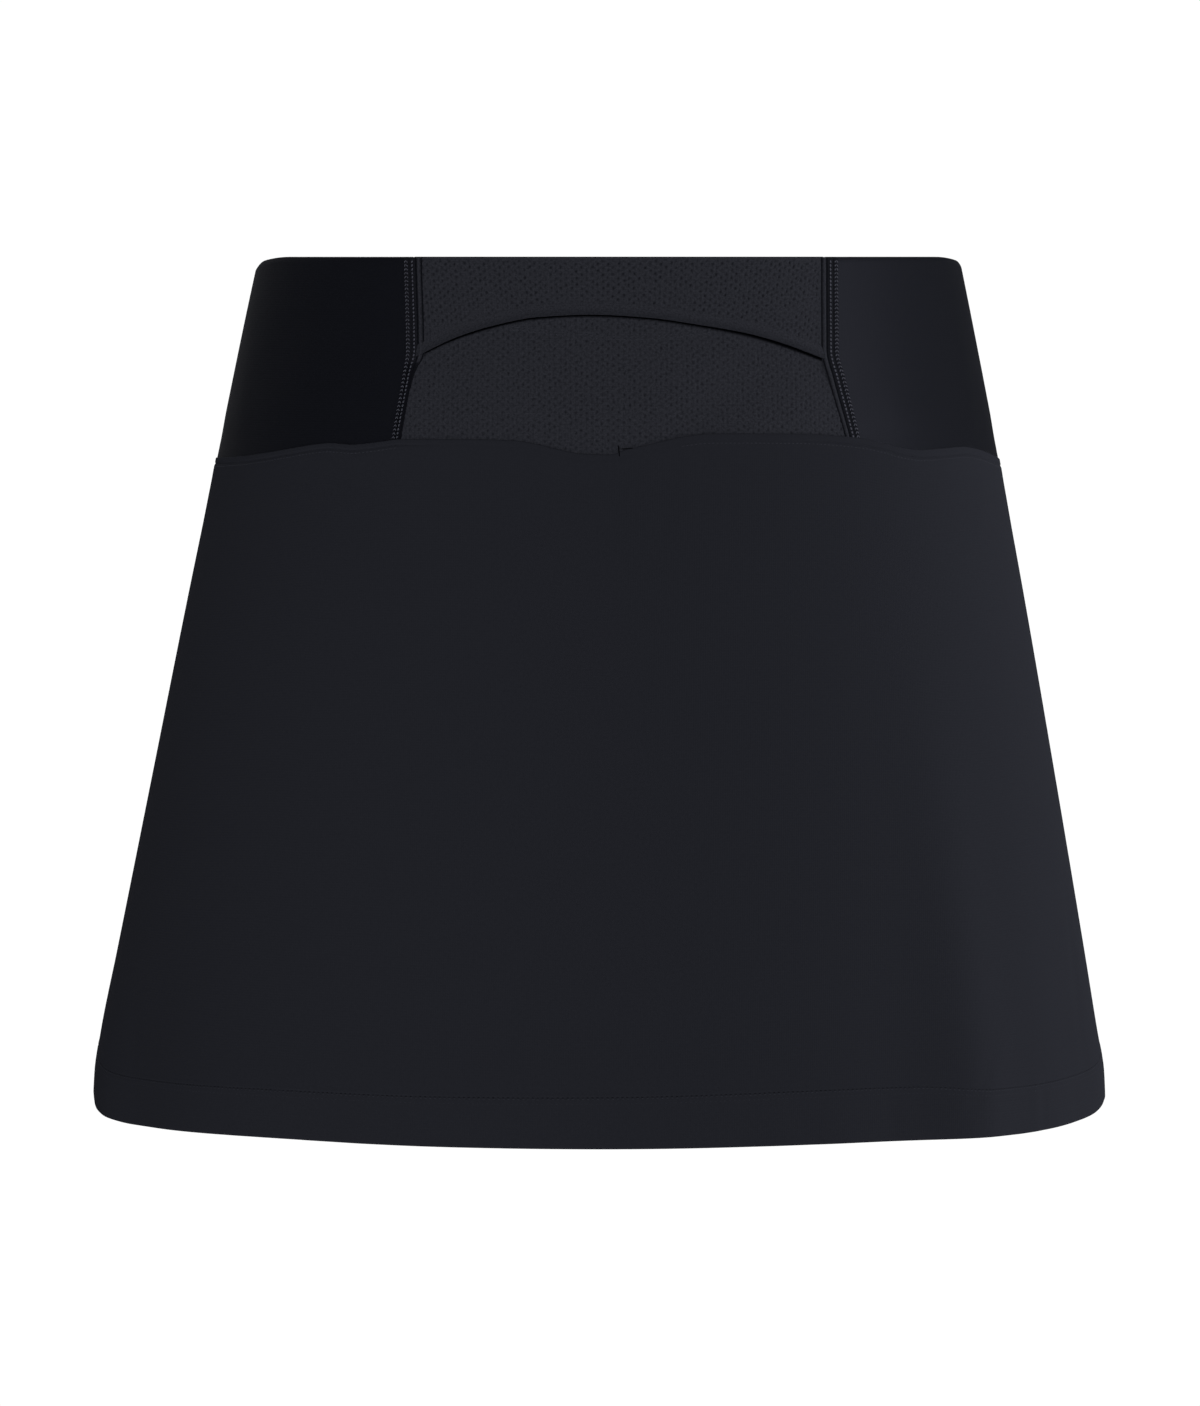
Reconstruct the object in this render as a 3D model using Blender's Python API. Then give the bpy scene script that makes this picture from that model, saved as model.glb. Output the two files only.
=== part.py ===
"""Running skort, filled out as it is worn and open at the waist, the hem and both legs.

Metres, +Z up. The origin is the middle of the waist edge, the wearer's back is +Y and the wearer's left is +X.
Every piece of cloth is a thin closed wall. Its points are found from an angle round the body and a depth below
the waist, so neighbours share the same tables and keep the same small gap along each seam.
"""

import math
from bisect import bisect_right
from collections import namedtuple

import bmesh
import bpy
from mathutils import Vector

# Driving sizes
SEAM_GAP = 0.0003
KNIT_WALL = 0.0012
MESH_WALL = 0.0011
BAND_DEPTH = 0.088
LAP_SINK = 0.0008
LAP_START = 0.048
LAP_FULL = 0.066
LAP_PROUD = 0.0007
LAP_END = 0.112
BINDING_HEIGHT = 0.0042
BINDING_PROUD = 0.0003
BINDING_SHOULDER = 0.6
BINDING_BROW = 0.2
POCKET_RELEASE = 0.015
POCKET_BACK_SINK = 0.0028
POCKET_BACK_TOP = 0.0020
HEM_TURN = 0.020
HEM_STEP = 0.0004
HEM_FOLD = 0.0008
HEM_ROUND = 0.0007
HEM_MIDDLE = 0.55
LEG_HEM_DEPTH = 0.316
CROTCH_DEPTH = 0.232
RISE_START = 0.150
LEG_HALF_WIDTH = 0.078
LEG_HALF_DEPTH = 0.088
LEG_CENTRE = 0.087
LEG_CENTRE_BACK = 0.004
LEG_TAPER = 1.3

# How finely the walls are divided: degrees a column round the body, counts, depths of rows below the waist,
# and shares of a piece's own height
ROUND_STEP = 4.5
SHARP_ANGLE = 40
MESH_COLUMNS = 20
SKIRT_ROWS = 10
SKIRT_ROW_SPREAD = 1.3
BODY_COLUMNS = 20
THIGH_COLUMNS = 12
FLAP_ROWS = 4
BAND_ROWS = [0.0, 0.010, 0.022, 0.036, 0.047, 0.056, 0.064, 0.075, BAND_DEPTH]
POCKET_PANEL_ROWS = [0.0, 0.09, 0.18, 0.27, 0.37, 0.48, 0.60, 0.72, 0.85, 1.0]
POCKET_BACK_ROWS = [POCKET_BACK_TOP, 0.020, 0.036, 0.047, 0.060, 0.070, BAND_DEPTH]
SHORTS_ROWS = [BAND_DEPTH + SEAM_GAP, 0.104, 0.120, 0.135]
LEG_ROWS = [0.0, 0.10, 0.22, 0.36, 0.52, 0.68, 0.84, 1.0]

# Horizontal sections of the outside, by depth below the waist. lean is the sideways sway of the hanging cloth
# towards the wearer's left, and back is how far the section's middle lies behind the waist's middle.
Section = namedtuple("Section", "below half_width half_depth lean back")
SECTIONS = [
    Section(0.000, 0.1380, 0.1000, 0.0000, 0.000),
    Section(0.021, 0.1424, 0.1035, 0.0002, 0.001),
    Section(0.076, 0.1534, 0.1140, 0.0006, 0.003),
    Section(0.131, 0.1642, 0.1235, 0.0013, 0.005),
    Section(0.203, 0.1777, 0.1340, 0.0023, 0.006),
    Section(0.273, 0.1907, 0.1435, 0.0034, 0.005),
    Section(0.305, 0.1966, 0.1475, 0.0040, 0.004),
    Section(0.321, 0.1991, 0.1492, 0.0039, 0.004),
    Section(0.341, 0.1999, 0.1502, 0.0040, 0.004),
]

# Edges that run round the body: degrees from the centre back, positive to the wearer's right, and the depth
# there.
Edge = namedtuple("Edge", "angle below")
WAIST_EDGE = [
    Edge(-180, 0.0080),
    Edge(-120, 0.0075),
    Edge(-90, 0.0052),
    Edge(-79, 0.0014),
    Edge(-66, 0.0000),
    Edge(66, 0.0000),
    Edge(79, 0.0014),
    Edge(90, 0.0050),
    Edge(120, 0.0075),
    Edge(180, 0.0080),
]
SKIRT_TOP = [
    Edge(-180, 0.0800),
    Edge(-90, 0.0796),
    Edge(-78, 0.0790),
    Edge(-57, 0.0758),
    Edge(-49, 0.0733),
    Edge(-41, 0.0727),
    Edge(-33, 0.0710),
    Edge(-28, 0.0729),
    Edge(-18, 0.0758),
    Edge(-3, 0.0757),
    Edge(9, 0.0700),
    Edge(18, 0.0694),
    Edge(25, 0.0710),
    Edge(34, 0.0704),
    Edge(40, 0.0716),
    Edge(50, 0.0769),
    Edge(66, 0.0755),
    Edge(75, 0.0768),
    Edge(90, 0.0800),
    Edge(180, 0.0800),
]
HEM_EDGE = [
    Edge(-180, 0.3390),
    Edge(-110, 0.3370),
    Edge(-100, 0.3345),
    Edge(-90, 0.3305),
    Edge(-80, 0.3348),
    Edge(-72, 0.3370),
    Edge(-45, 0.3380),
    Edge(-19, 0.3398),
    Edge(0, 0.3402),
    Edge(33, 0.3394),
    Edge(52, 0.3395),
    Edge(64, 0.3389),
    Edge(73, 0.3374),
    Edge(81, 0.3338),
    Edge(90, 0.3296),
    Edge(100, 0.3330),
    Edge(110, 0.3365),
    Edge(180, 0.3390),
]

# Side edges of the back mesh panels: how far they stand from the centre back, seen from behind.
PanelEdge = namedtuple("PanelEdge", "below left right")
PANEL_EDGES = [
    PanelEdge(0.000, 0.0785, 0.0802),
    PanelEdge(0.036, 0.0775, 0.0802),
    PanelEdge(0.047, 0.0795, 0.0828),
    PanelEdge(0.070, 0.0835, 0.0891),
    PanelEdge(0.088, 0.0866, 0.0938),
]

# Curves across the mesh panels: distance from the centre back to the wearer's right, and the depth there.
Curve = namedtuple("Curve", "across below")
POCKET_MOUTH = [
    Curve(-0.078, 0.0388),
    Curve(-0.060, 0.0308),
    Curve(-0.045, 0.0263),
    Curve(-0.030, 0.0234),
    Curve(-0.010, 0.0224),
    Curve(0.010, 0.0235),
    Curve(0.030, 0.0264),
    Curve(0.047, 0.0294),
    Curve(0.063, 0.0337),
    Curve(0.081, 0.0400),
]
POCKET_TOP_HEM = [
    Curve(-0.082, 0.0120),
    Curve(-0.045, 0.0170),
    Curve(0.005, 0.0215),
    Curve(0.042, 0.0180),
    Curve(0.085, 0.0130),
]

# Soft flutes of the skirt: the angle of each middle, its half width in degrees, how far it stands out at the
# hem (in, where negative), and the depth below the waist where it starts.
Flute = namedtuple("Flute", "angle spread stands_out starts")
FLUTES = [
    Flute(-150, 11, 0.0018, 0.210),
    Flute(-125, 9, -0.0016, 0.220),
    Flute(-102, 6, 0.0012, 0.230),
    Flute(-79, 5, 0.0012, 0.230),
    Flute(-66, 7, -0.0022, 0.230),
    Flute(-48, 9, 0.0010, 0.240),
    Flute(44, 8, -0.0012, 0.240),
    Flute(57, 7, 0.0020, 0.170),
    Flute(70, 6, -0.0018, 0.200),
    Flute(104, 7, 0.0014, 0.220),
    Flute(128, 10, -0.0018, 0.210),
    Flute(155, 12, 0.0016, 0.220),
]

# How much closer to the body than the skirt's outside the inner shorts fit.
Ease = namedtuple("Ease", "below ease")
SHORTS_EASE = [
    Ease(0.088, 0.0010),
    Ease(0.104, 0.0020),
    Ease(0.120, 0.0032),
    Ease(0.150, 0.0055),
]

Spot = namedtuple("Spot", "angle below outer inner")
Finish = namedtuple("Finish", "colour roughness")
INTERLOCK = Finish((0.0052, 0.0056, 0.0078), 0.62)
BIRDSEYE = Finish((0.0165, 0.0172, 0.0222), 0.86)
SKIRT_KNIT = Finish((0.0137, 0.0144, 0.0185), 0.80)
SHORTS_KNIT = Finish((0.0100, 0.0105, 0.0135), 0.78)


def clamp(value, low, high):
    """The value, kept between low and high."""
    return max(low, min(high, value))


def blend(first, second, share):
    """The value that lies the given share of the way from first to second."""
    return first + (second - first) * share


def ease(value, start, full):
    """A soft step that is 0 up to start and 1 from full on."""
    share = clamp((value - start) / (full - start), 0.0, 1.0)
    return share * share * (3.0 - 2.0 * share)


def read(table, column, at):
    """A column's value on a smooth curve through the table's rows, with no overshoot between them."""
    places = [row[0] for row in table]
    values = [getattr(row, column) for row in table]
    rises = [
        (values[k + 1] - values[k]) / (places[k + 1] - places[k])
        for k in range(len(table) - 1)
    ]

    def slope(k):
        """The curve's slope at a row: the harmonic mean of the rises beside it, or none at a turn."""
        if k in (0, len(rises)):
            return rises[min(k, len(rises) - 1)]
        before, after = rises[k - 1], rises[k]
        return 0.0 if before * after <= 0 else 2.0 * before * after / (before + after)

    k = int(clamp(bisect_right(places, at) - 1, 0, len(table) - 2))
    span = places[k + 1] - places[k]
    t = clamp((at - places[k]) / span, 0.0, 1.0)
    start = values[k] * (1.0 + 2.0 * t) * (1.0 - t) ** 2
    end = values[k + 1] * t * t * (3.0 - 2.0 * t)
    leave = slope(k) * span * t * (1.0 - t) ** 2
    arrive = slope(k + 1) * span * t * t * (t - 1.0)
    return start + end + leave + arrive


def wrapped(angle):
    """An angle in degrees brought between -180 and 180."""
    return (angle + 180.0) % 360.0 - 180.0


def edge(table, angle):
    """The depth of an edge that runs round the body."""
    return read(table, "below", wrapped(angle))


def flutes(angle, below):
    """How far the skirt's soft flutes move its surface out at a place."""
    total = 0.0
    hem = SECTIONS[-1].below
    for flute in FLUTES:
        away = wrapped(angle - flute.angle) / flute.spread
        total += flute.stands_out * math.exp(-away * away) * ease(below, flute.starts, hem)
    return total


def place(angle, below, inward):
    """The point at an angle and a depth, so far inside the garment's outside."""
    turn = math.radians(angle)
    out = flutes(angle, below) - inward
    half_width = read(SECTIONS, "half_width", below) + out
    half_depth = read(SECTIONS, "half_depth", below) + out
    across = read(SECTIONS, "lean", below) - half_width * math.sin(turn)
    behind = read(SECTIONS, "back", below) + half_depth * math.cos(turn)
    return Vector((across, behind, -below))


def angle_across(across, below):
    """The angle on the back at a distance from the centre back, seen from behind."""
    return math.degrees(math.asin(across / read(SECTIONS, "half_width", below)))


def shifted(angle, below, distance):
    """The angle moved along the surface by a distance, positive to the wearer's right."""
    turn = math.radians(angle)
    half_width = read(SECTIONS, "half_width", below)
    half_depth = read(SECTIONS, "half_depth", below)
    per_turn = math.hypot(half_width * math.cos(turn), half_depth * math.sin(turn))
    return angle + math.degrees(distance / per_turn)


def lap_sink(below):
    """How far the band gives way under the skirt's lapped top edge."""
    return LAP_SINK * ease(below, LAP_START, LAP_FULL)


def finish(name, look):
    """A plain cloth material."""
    material = bpy.data.materials.new(name)
    material.use_nodes = True
    shader = material.node_tree.nodes["Principled BSDF"]
    shader.inputs["Base Color"].default_value = (*look.colour, 1.0)
    shader.inputs["Roughness"].default_value = look.roughness
    shader.inputs["Metallic"].default_value = 0.0
    return material


def close_wall(surface, inner_points):
    """Gives an open outer surface its inner skin, and closes the rim between them."""
    outer_faces = list(surface.faces)
    rim = [
        (edge_.link_loops[0].vert, edge_.link_loops[0].link_loop_next.vert)
        for edge_ in surface.edges
        if edge_.is_boundary
    ]
    twin = {vert: surface.verts.new(point) for vert, point in inner_points.items()}
    for face in outer_faces:
        surface.faces.new([twin[vert] for vert in reversed(face.verts)])
    for first, second in rim:
        surface.faces.new((second, first, twin[first], twin[second]))


def add_object(name, surface, look):
    """Makes the object of a finished wall, shaded smooth but for its rims."""
    mesh = bpy.data.meshes.new(name)
    surface.to_mesh(mesh)
    surface.free()
    mesh.shade_smooth()
    mesh.set_sharp_from_angle(angle=math.radians(SHARP_ANGLE))
    mesh.materials.append(finish(name + "_cloth", look))
    piece = bpy.data.objects.new(name, mesh)
    bpy.context.collection.objects.link(piece)
    return piece


def sewn_panel(name, rows, look):
    """A wall from rows of spots, its top edge first, each row from the wearer's left to right on the back."""
    surface = bmesh.new()
    grid = []
    inner_points = {}
    for row in rows:
        line = []
        for spot in row:
            vert = surface.verts.new(place(spot.angle, spot.below, spot.outer))
            inner_points[vert] = place(spot.angle, spot.below, spot.inner)
            line.append(vert)
        grid.append(line)
    for upper, lower in zip(grid[:-1], grid[1:], strict=True):
        for k in range(len(upper) - 1):
            surface.faces.new((upper[k], lower[k], lower[k + 1], upper[k + 1]))
    close_wall(surface, inner_points)
    return add_object(name, surface, look)


def band_angle(share, below):
    """The angle a share of the way round the band, from its right back seam by the front to its left one."""
    start = angle_across(read(PANEL_EDGES, "right", below), below)
    stop = 360.0 - angle_across(read(PANEL_EDGES, "left", below), below)
    return blend(shifted(start, below, SEAM_GAP / 2), shifted(stop, below, -SEAM_GAP / 2), share)


def make_waistband():
    """The smooth wrap from the right back seam round the front to the left back seam."""
    columns = round((band_angle(1.0, 0.0) - band_angle(0.0, 0.0)) / ROUND_STEP)
    rows = []
    for level in BAND_ROWS:
        row = []
        for column in range(columns + 1):
            share = column / columns
            top = edge(WAIST_EDGE, band_angle(share, level))
            below = blend(top, BAND_DEPTH, level / BAND_DEPTH)
            sink = lap_sink(below)
            row.append(Spot(band_angle(share, below), below, sink, sink + KNIT_WALL))
        rows.append(row)
    return sewn_panel("waistband", rows, INTERLOCK)


def mesh_row(below_of, outer_of, wall):
    """One row across the back mesh, from its left seam to its right one."""
    row = []
    for column in range(MESH_COLUMNS + 1):
        share = column / MESH_COLUMNS
        across = blend(-PANEL_EDGES[1].left, PANEL_EDGES[1].right, share)
        below = below_of(across)
        left = angle_across(-read(PANEL_EDGES, "left", below), below)
        right = angle_across(read(PANEL_EDGES, "right", below), below)
        left = shifted(left, below, SEAM_GAP / 2)
        right = shifted(right, below, -SEAM_GAP / 2)
        outer = outer_of(across, below)
        row.append(Spot(blend(left, right, share), below, outer, outer + wall))
    return row


def mouth(across):
    """The depth of the pocket's mouth, the flap's free lower edge."""
    return read(POCKET_MOUTH, "below", across)


def make_back_flap():
    """The upper mesh panel, down to its binding."""

    def line(share):
        """The depth of the panel's line at a share of its height."""
        return lambda across: share * (mouth(across) - BINDING_HEIGHT - SEAM_GAP / 2)

    shares = [k / FLAP_ROWS for k in range(FLAP_ROWS + 1)]
    rows = [mesh_row(line(share), lambda across, below: 0.0, MESH_WALL) for share in shares]
    return sewn_panel("back_flap", rows, BIRDSEYE)


def make_pocket_binding():
    """The smooth strip that binds the flap's arched edge, rounded towards the mouth."""
    top = BINDING_HEIGHT - SEAM_GAP / 2
    heights = [1.0, BINDING_SHOULDER, BINDING_BROW, 0.0]
    sinks = [0.0, -BINDING_PROUD, -BINDING_PROUD, BINDING_PROUD]
    rows = [
        mesh_row(
            lambda across, up=height * top: mouth(across) - up,
            lambda across, below, at=sink: at,
            MESH_WALL - sink,
        )
        for height, sink in zip(heights, sinks, strict=True)
    ]
    return sewn_panel("pocket_binding", rows, INTERLOCK)


def pocket_sink(across, below):
    """How far in the pocket's outer layer lies: behind the flap, level with the band, then under the lap."""
    behind_flap = MESH_WALL + SEAM_GAP
    freed = ease(below - mouth(across), 0.0, POCKET_RELEASE)
    under_lap = (LAP_SINK - SEAM_GAP) * ease(below, LAP_START, LAP_FULL)
    return blend(behind_flap, SEAM_GAP, freed) + under_lap


def make_pocket_panel():
    """The lower mesh panel: the pocket's outer layer, from its top hem behind the flap to the band's seam."""

    def line(share):
        """The depth of the panel's line at a share of its height."""
        return lambda across: blend(read(POCKET_TOP_HEM, "below", across), BAND_DEPTH, share)

    rows = [mesh_row(line(share), pocket_sink, MESH_WALL) for share in POCKET_PANEL_ROWS]
    return sewn_panel("pocket_panel", rows, BIRDSEYE)


def make_pocket_back():
    """The pocket's inner layer, flat behind the flap and the outer layer."""
    rows = [
        mesh_row(lambda across, at=depth: at, lambda across, below: POCKET_BACK_SINK, MESH_WALL)
        for depth in POCKET_BACK_ROWS
    ]
    return sewn_panel("pocket_back", rows, BIRDSEYE)


def skirt_column(angle):
    """Depth, outer and inner sink of the skirt down one line, from its lapped top to its turned hem."""
    top = edge(SKIRT_TOP, angle)
    hem = edge(HEM_EDGE, angle)
    turn = hem - HEM_TURN
    column = []
    for row in range(SKIRT_ROWS + 1):
        below = blend(top, turn, (row / SKIRT_ROWS) ** SKIRT_ROW_SPREAD)
        outer = LAP_PROUD * (ease(below, BAND_DEPTH, LAP_END) - 1.0)
        column.append((below, outer, outer + KNIT_WALL))
    column.append((turn + HEM_STEP, 0.0, 2.0 * KNIT_WALL))
    column.append((blend(turn, hem, HEM_MIDDLE), 0.0, 2.0 * KNIT_WALL))
    column.append((hem - HEM_FOLD, 0.0, 2.0 * KNIT_WALL))
    column.append((hem, HEM_ROUND, 2.0 * KNIT_WALL - HEM_ROUND))
    return column


def make_skirt_panel(name, first, last):
    """A skirt panel between two side seams, each half a seam gap short of its angle."""
    columns = round((last - first) / ROUND_STEP)
    lines = []
    for column in range(columns + 1):
        share = column / columns
        line = []
        for below, outer, inner in skirt_column(blend(first, last, share)):
            start = shifted(first, below, SEAM_GAP / 2)
            stop = shifted(last, below, -SEAM_GAP / 2)
            line.append(Spot(blend(start, stop, share), below, outer, inner))
        lines.append(line)
    rows = [list(row) for row in zip(*lines, strict=True)]
    return sewn_panel(name, rows, SKIRT_KNIT)


def shorts_body(side, turn, below):
    """A point of the shorts' fitted body. turn is 0 at the side seam and a quarter turn at the centre back."""
    inward = read(SHORTS_EASE, "ease", below)
    half_width = read(SECTIONS, "half_width", below) - inward
    half_depth = read(SECTIONS, "half_depth", below) - inward
    lean = read(SECTIONS, "lean", below) * math.cos(turn)
    across = side * (SEAM_GAP / 2 + (half_width - SEAM_GAP / 2) * math.cos(turn)) + lean
    behind = read(SECTIONS, "back", below) + half_depth * math.sin(turn)
    return Vector((across, behind, -below))


def rise_point(side, turn):
    """A point of the seam that runs from the centre back under the crotch to the centre front."""
    back = shorts_body(side, math.pi / 2, RISE_START)
    front = shorts_body(side, -math.pi / 2, RISE_START)
    behind = (back.y + front.y) / 2 + (back.y - front.y) / 2 * math.sin(turn)
    below = RISE_START + (CROTCH_DEPTH - RISE_START) * abs(math.cos(turn))
    return Vector((side * SEAM_GAP / 2, behind, -below))


def leg_opening(side, turn):
    """A point of the leg's hem."""
    across = side * (LEG_CENTRE + LEG_HALF_WIDTH * math.cos(turn))
    behind = LEG_CENTRE_BACK + LEG_HALF_DEPTH * math.sin(turn)
    return Vector((across, behind, -LEG_HEM_DEPTH))


def leg_point(side, turn, share):
    """A point of the leg, the given share of the way from the rise down to its hem."""
    top = rise_point(side, turn) if math.cos(turn) < 0 else shorts_body(side, turn, RISE_START)
    hem = leg_opening(side, turn)
    inwards = share**LEG_TAPER
    return Vector((blend(top.x, hem.x, inwards), blend(top.y, hem.y, inwards), blend(top.z, hem.z, share)))


def make_shorts_leg(name, side):
    """One cut piece of the inner shorts: half of the body and one leg. side is 1 on the wearer's left."""
    outer_half = [math.pi * (k / BODY_COLUMNS - 0.5) for k in range(BODY_COLUMNS + 1)]
    inner_half = [math.pi * (k / THIGH_COLUMNS + 0.5) for k in range(1, THIGH_COLUMNS)]
    surface = bmesh.new()
    rows = [
        [surface.verts.new(shorts_body(side, turn, below)) for turn in outer_half]
        for below in SHORTS_ROWS
    ]
    rings = [
        [surface.verts.new(leg_point(side, turn, share)) for turn in outer_half + inner_half]
        for share in LEG_ROWS
    ]
    rows.append(rings[0][: len(outer_half)])
    for upper, lower in zip(rows[:-1], rows[1:], strict=True):
        for k in range(len(outer_half) - 1):
            surface.faces.new((upper[k], lower[k], lower[k + 1], upper[k + 1]))
    for upper, lower in zip(rings[:-1], rings[1:], strict=True):
        for k in range(len(upper)):
            after = (k + 1) % len(upper)
            surface.faces.new((upper[k], lower[k], lower[after], upper[after]))
    if side < 0:
        bmesh.ops.reverse_faces(surface, faces=surface.faces)
    surface.normal_update()
    inner_points = {vert: vert.co - vert.normal * KNIT_WALL for vert in surface.verts}
    close_wall(surface, inner_points)
    return add_object(name, surface, SHORTS_KNIT)


def main():
    """Clears the scene and makes every piece of the skort."""
    for old in list(bpy.data.objects):
        bpy.data.objects.remove(old, do_unlink=True)
    make_waistband()
    make_back_flap()
    make_pocket_binding()
    make_pocket_panel()
    make_pocket_back()
    make_skirt_panel("skirt_back", -90.0, 90.0)
    make_skirt_panel("skirt_front", 90.0, 270.0)
    make_shorts_leg("shorts_left", 1)
    make_shorts_leg("shorts_right", -1)


main()
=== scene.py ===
# %% [markdown]
# # A running skort, filled out and seen from behind
#
# The garment is a short A-line skirt of light knit over fitted inner shorts, held up by a smooth wrap
# waistband. At the centre back a pocket of dimpled birdseye mesh is set into the band. Everything is black,
# so the eye reads the pieces by their sheen, their seams and the small steps where one layer laps over
# another.
#
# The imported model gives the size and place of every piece. This script replaces each plain solid by a thin
# shell of cloth with its folds, turned edges and sewing, and then gives every cloth its finish.

import math
import random

import bmesh
import bpy
import numpy as np
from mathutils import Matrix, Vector


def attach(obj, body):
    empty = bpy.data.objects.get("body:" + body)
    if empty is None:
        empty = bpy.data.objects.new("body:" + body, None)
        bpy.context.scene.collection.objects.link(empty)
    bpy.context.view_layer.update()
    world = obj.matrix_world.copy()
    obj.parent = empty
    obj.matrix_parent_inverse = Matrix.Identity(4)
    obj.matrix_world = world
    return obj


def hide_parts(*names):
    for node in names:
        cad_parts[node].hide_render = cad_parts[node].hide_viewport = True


MM = 0.001
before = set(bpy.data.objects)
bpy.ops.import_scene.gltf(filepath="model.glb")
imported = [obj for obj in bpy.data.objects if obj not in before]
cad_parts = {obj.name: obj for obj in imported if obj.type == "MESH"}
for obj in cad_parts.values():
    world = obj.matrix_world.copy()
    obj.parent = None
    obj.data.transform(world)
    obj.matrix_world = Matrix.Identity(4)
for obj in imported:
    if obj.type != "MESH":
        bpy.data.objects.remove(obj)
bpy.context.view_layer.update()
print("solids:", sorted(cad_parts))

# %% [markdown]
# ## Camera
#
# The photograph is taken from behind at waist height, from far enough away that the sides look straight, and
# two degrees round to the garment's right. A long lens at 4.4 m gives that flat view, and the slight look
# down makes the hem bow. The waist edge stays a straight line, because the eye is level with it. One small
# function puts the camera in the scene, and every later object too.


# %% Camera
def add_object(name, data):
    """An object with its data, in the scene."""
    made = bpy.data.objects.new(name, data)
    bpy.context.scene.collection.objects.link(made)
    return made


CAMERA_DISTANCE = 4.4
CAMERA_TURN = math.radians(2.1)
CAMERA_TARGET = Vector((0.0036, 0.0, -0.1760))
LENS_MM = 285.8

lens = bpy.data.cameras.new("photo_camera")
lens.lens = LENS_MM
lens.sensor_width = 36.0
lens.clip_end = 100.0
camera = add_object("photo_camera", lens)
camera.location = CAMERA_DISTANCE * Vector((math.sin(CAMERA_TURN), math.cos(CAMERA_TURN), 0.0))
camera.rotation_euler = (CAMERA_TARGET - camera.location).to_track_quat("-Z", "Y").to_euler()
bpy.context.scene.camera = camera
print("camera at", [round(x, 3) for x in camera.location])

# %% [markdown]
# ## Nodes and colours
#
# Colours are written as sRGB hex, as a colour picker shows them, and Blender shades in linear light, so one
# function turns one into the other. A second one adds a shader node: plain values are set on its sockets, and
# the output of another node is linked.


# %% Colour and node helpers
def linear(code):
    """An sRGB hex colour as linear red, green, blue and alpha."""
    channels = [int(code[k : k + 2], 16) / 255 for k in (1, 3, 5)]
    return (*(c / 12.92 if c <= 0.04045 else ((c + 0.055) / 1.055) ** 2.4 for c in channels), 1.0)


def add_node(tree, kind, inputs, **settings):
    """Adds a node with its settings, and sets or links its inputs."""
    made = tree.nodes.new(kind)
    for setting, value in settings.items():
        setattr(made, setting, value)
    for name, value in inputs.items():
        if isinstance(value, bpy.types.NodeSocket):
            tree.links.new(value, made.inputs[name])
        else:
            made.inputs[name].default_value = value
    return made


# %% [markdown]
# ## Studio
#
# The garment stands in a white studio, on a floor that glows like a light table, so nothing but white shows
# around it. White all round would also put a bright rim on every dark edge, and the photograph has none:
# black cards stand beside such a set, out of view. Here the world shows white to the camera and gives only a
# dim fill to the cloth, which does what the cards do. The Light Path node tells the two apart.

# %% World
BACKDROP = 1.04
FILL = 0.08

world = bpy.data.worlds.new("white_studio")
world.use_nodes = True
sky = world.node_tree
white = linear("#ffffff")
seen = add_node(sky, "ShaderNodeBackground", {"Color": white, "Strength": BACKDROP}).outputs["Background"]
felt = add_node(sky, "ShaderNodeBackground", {"Color": white, "Strength": FILL}).outputs["Background"]
by_camera = add_node(sky, "ShaderNodeLightPath", {}).outputs["Is Camera Ray"]
both = add_node(sky, "ShaderNodeMixShader", {0: by_camera, 1: felt, 2: seen})
sky.links.new(both.outputs[0], sky.nodes["World Output"].inputs["Surface"])
bpy.context.scene.world = world
bpy.context.scene.view_settings.view_transform = "Standard"

# %% [markdown]
# The floor is matt white paint, lit from within to just past white. It lies four metres down, so that the
# garment can also be looked at from below.

# %% Floor
FLOOR_DEPTH = 4.0
FLOOR_SIZE = 60.0
FLOOR_GLOW = 0.97

floor_shape = bmesh.new()
bmesh.ops.create_grid(floor_shape, x_segments=1, y_segments=1, size=FLOOR_SIZE / 2)
bmesh.ops.translate(floor_shape, verts=floor_shape.verts, vec=(0.0, 0.0, -FLOOR_DEPTH))
floor_mesh = bpy.data.meshes.new("floor")
floor_shape.to_mesh(floor_mesh)
floor_shape.free()
floor = add_object("floor", floor_mesh)
floor.visible_glossy = False

paint = bpy.data.materials.new("matt_white_lit_floor_paint")
paint.use_nodes = True
paint_shader = paint.node_tree.nodes["Principled BSDF"]
paint_shader.inputs["Base Color"].default_value = linear("#fdfdfd")
paint_shader.inputs["Roughness"].default_value = 0.9
paint_shader.inputs["Specular IOR Level"].default_value = 0.1
paint_shader.inputs["Emission Color"].default_value = white
paint_shader.inputs["Emission Strength"].default_value = FLOOR_GLOW
floor_mesh.materials.append(paint)

# %% [markdown]
# Four soft boxes shape the cloth. The key stands almost level with the wearer's right side and draws the long
# rise from the dark left to the paler right, and a smaller one beside it gives the band its shine there. A
# weak one near the camera keeps the middle even, and one high up lights the front of the garment, which the
# camera doesn't see. Each is placed by its turn from the camera's side of the garment, its distance and its
# height.

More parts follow.
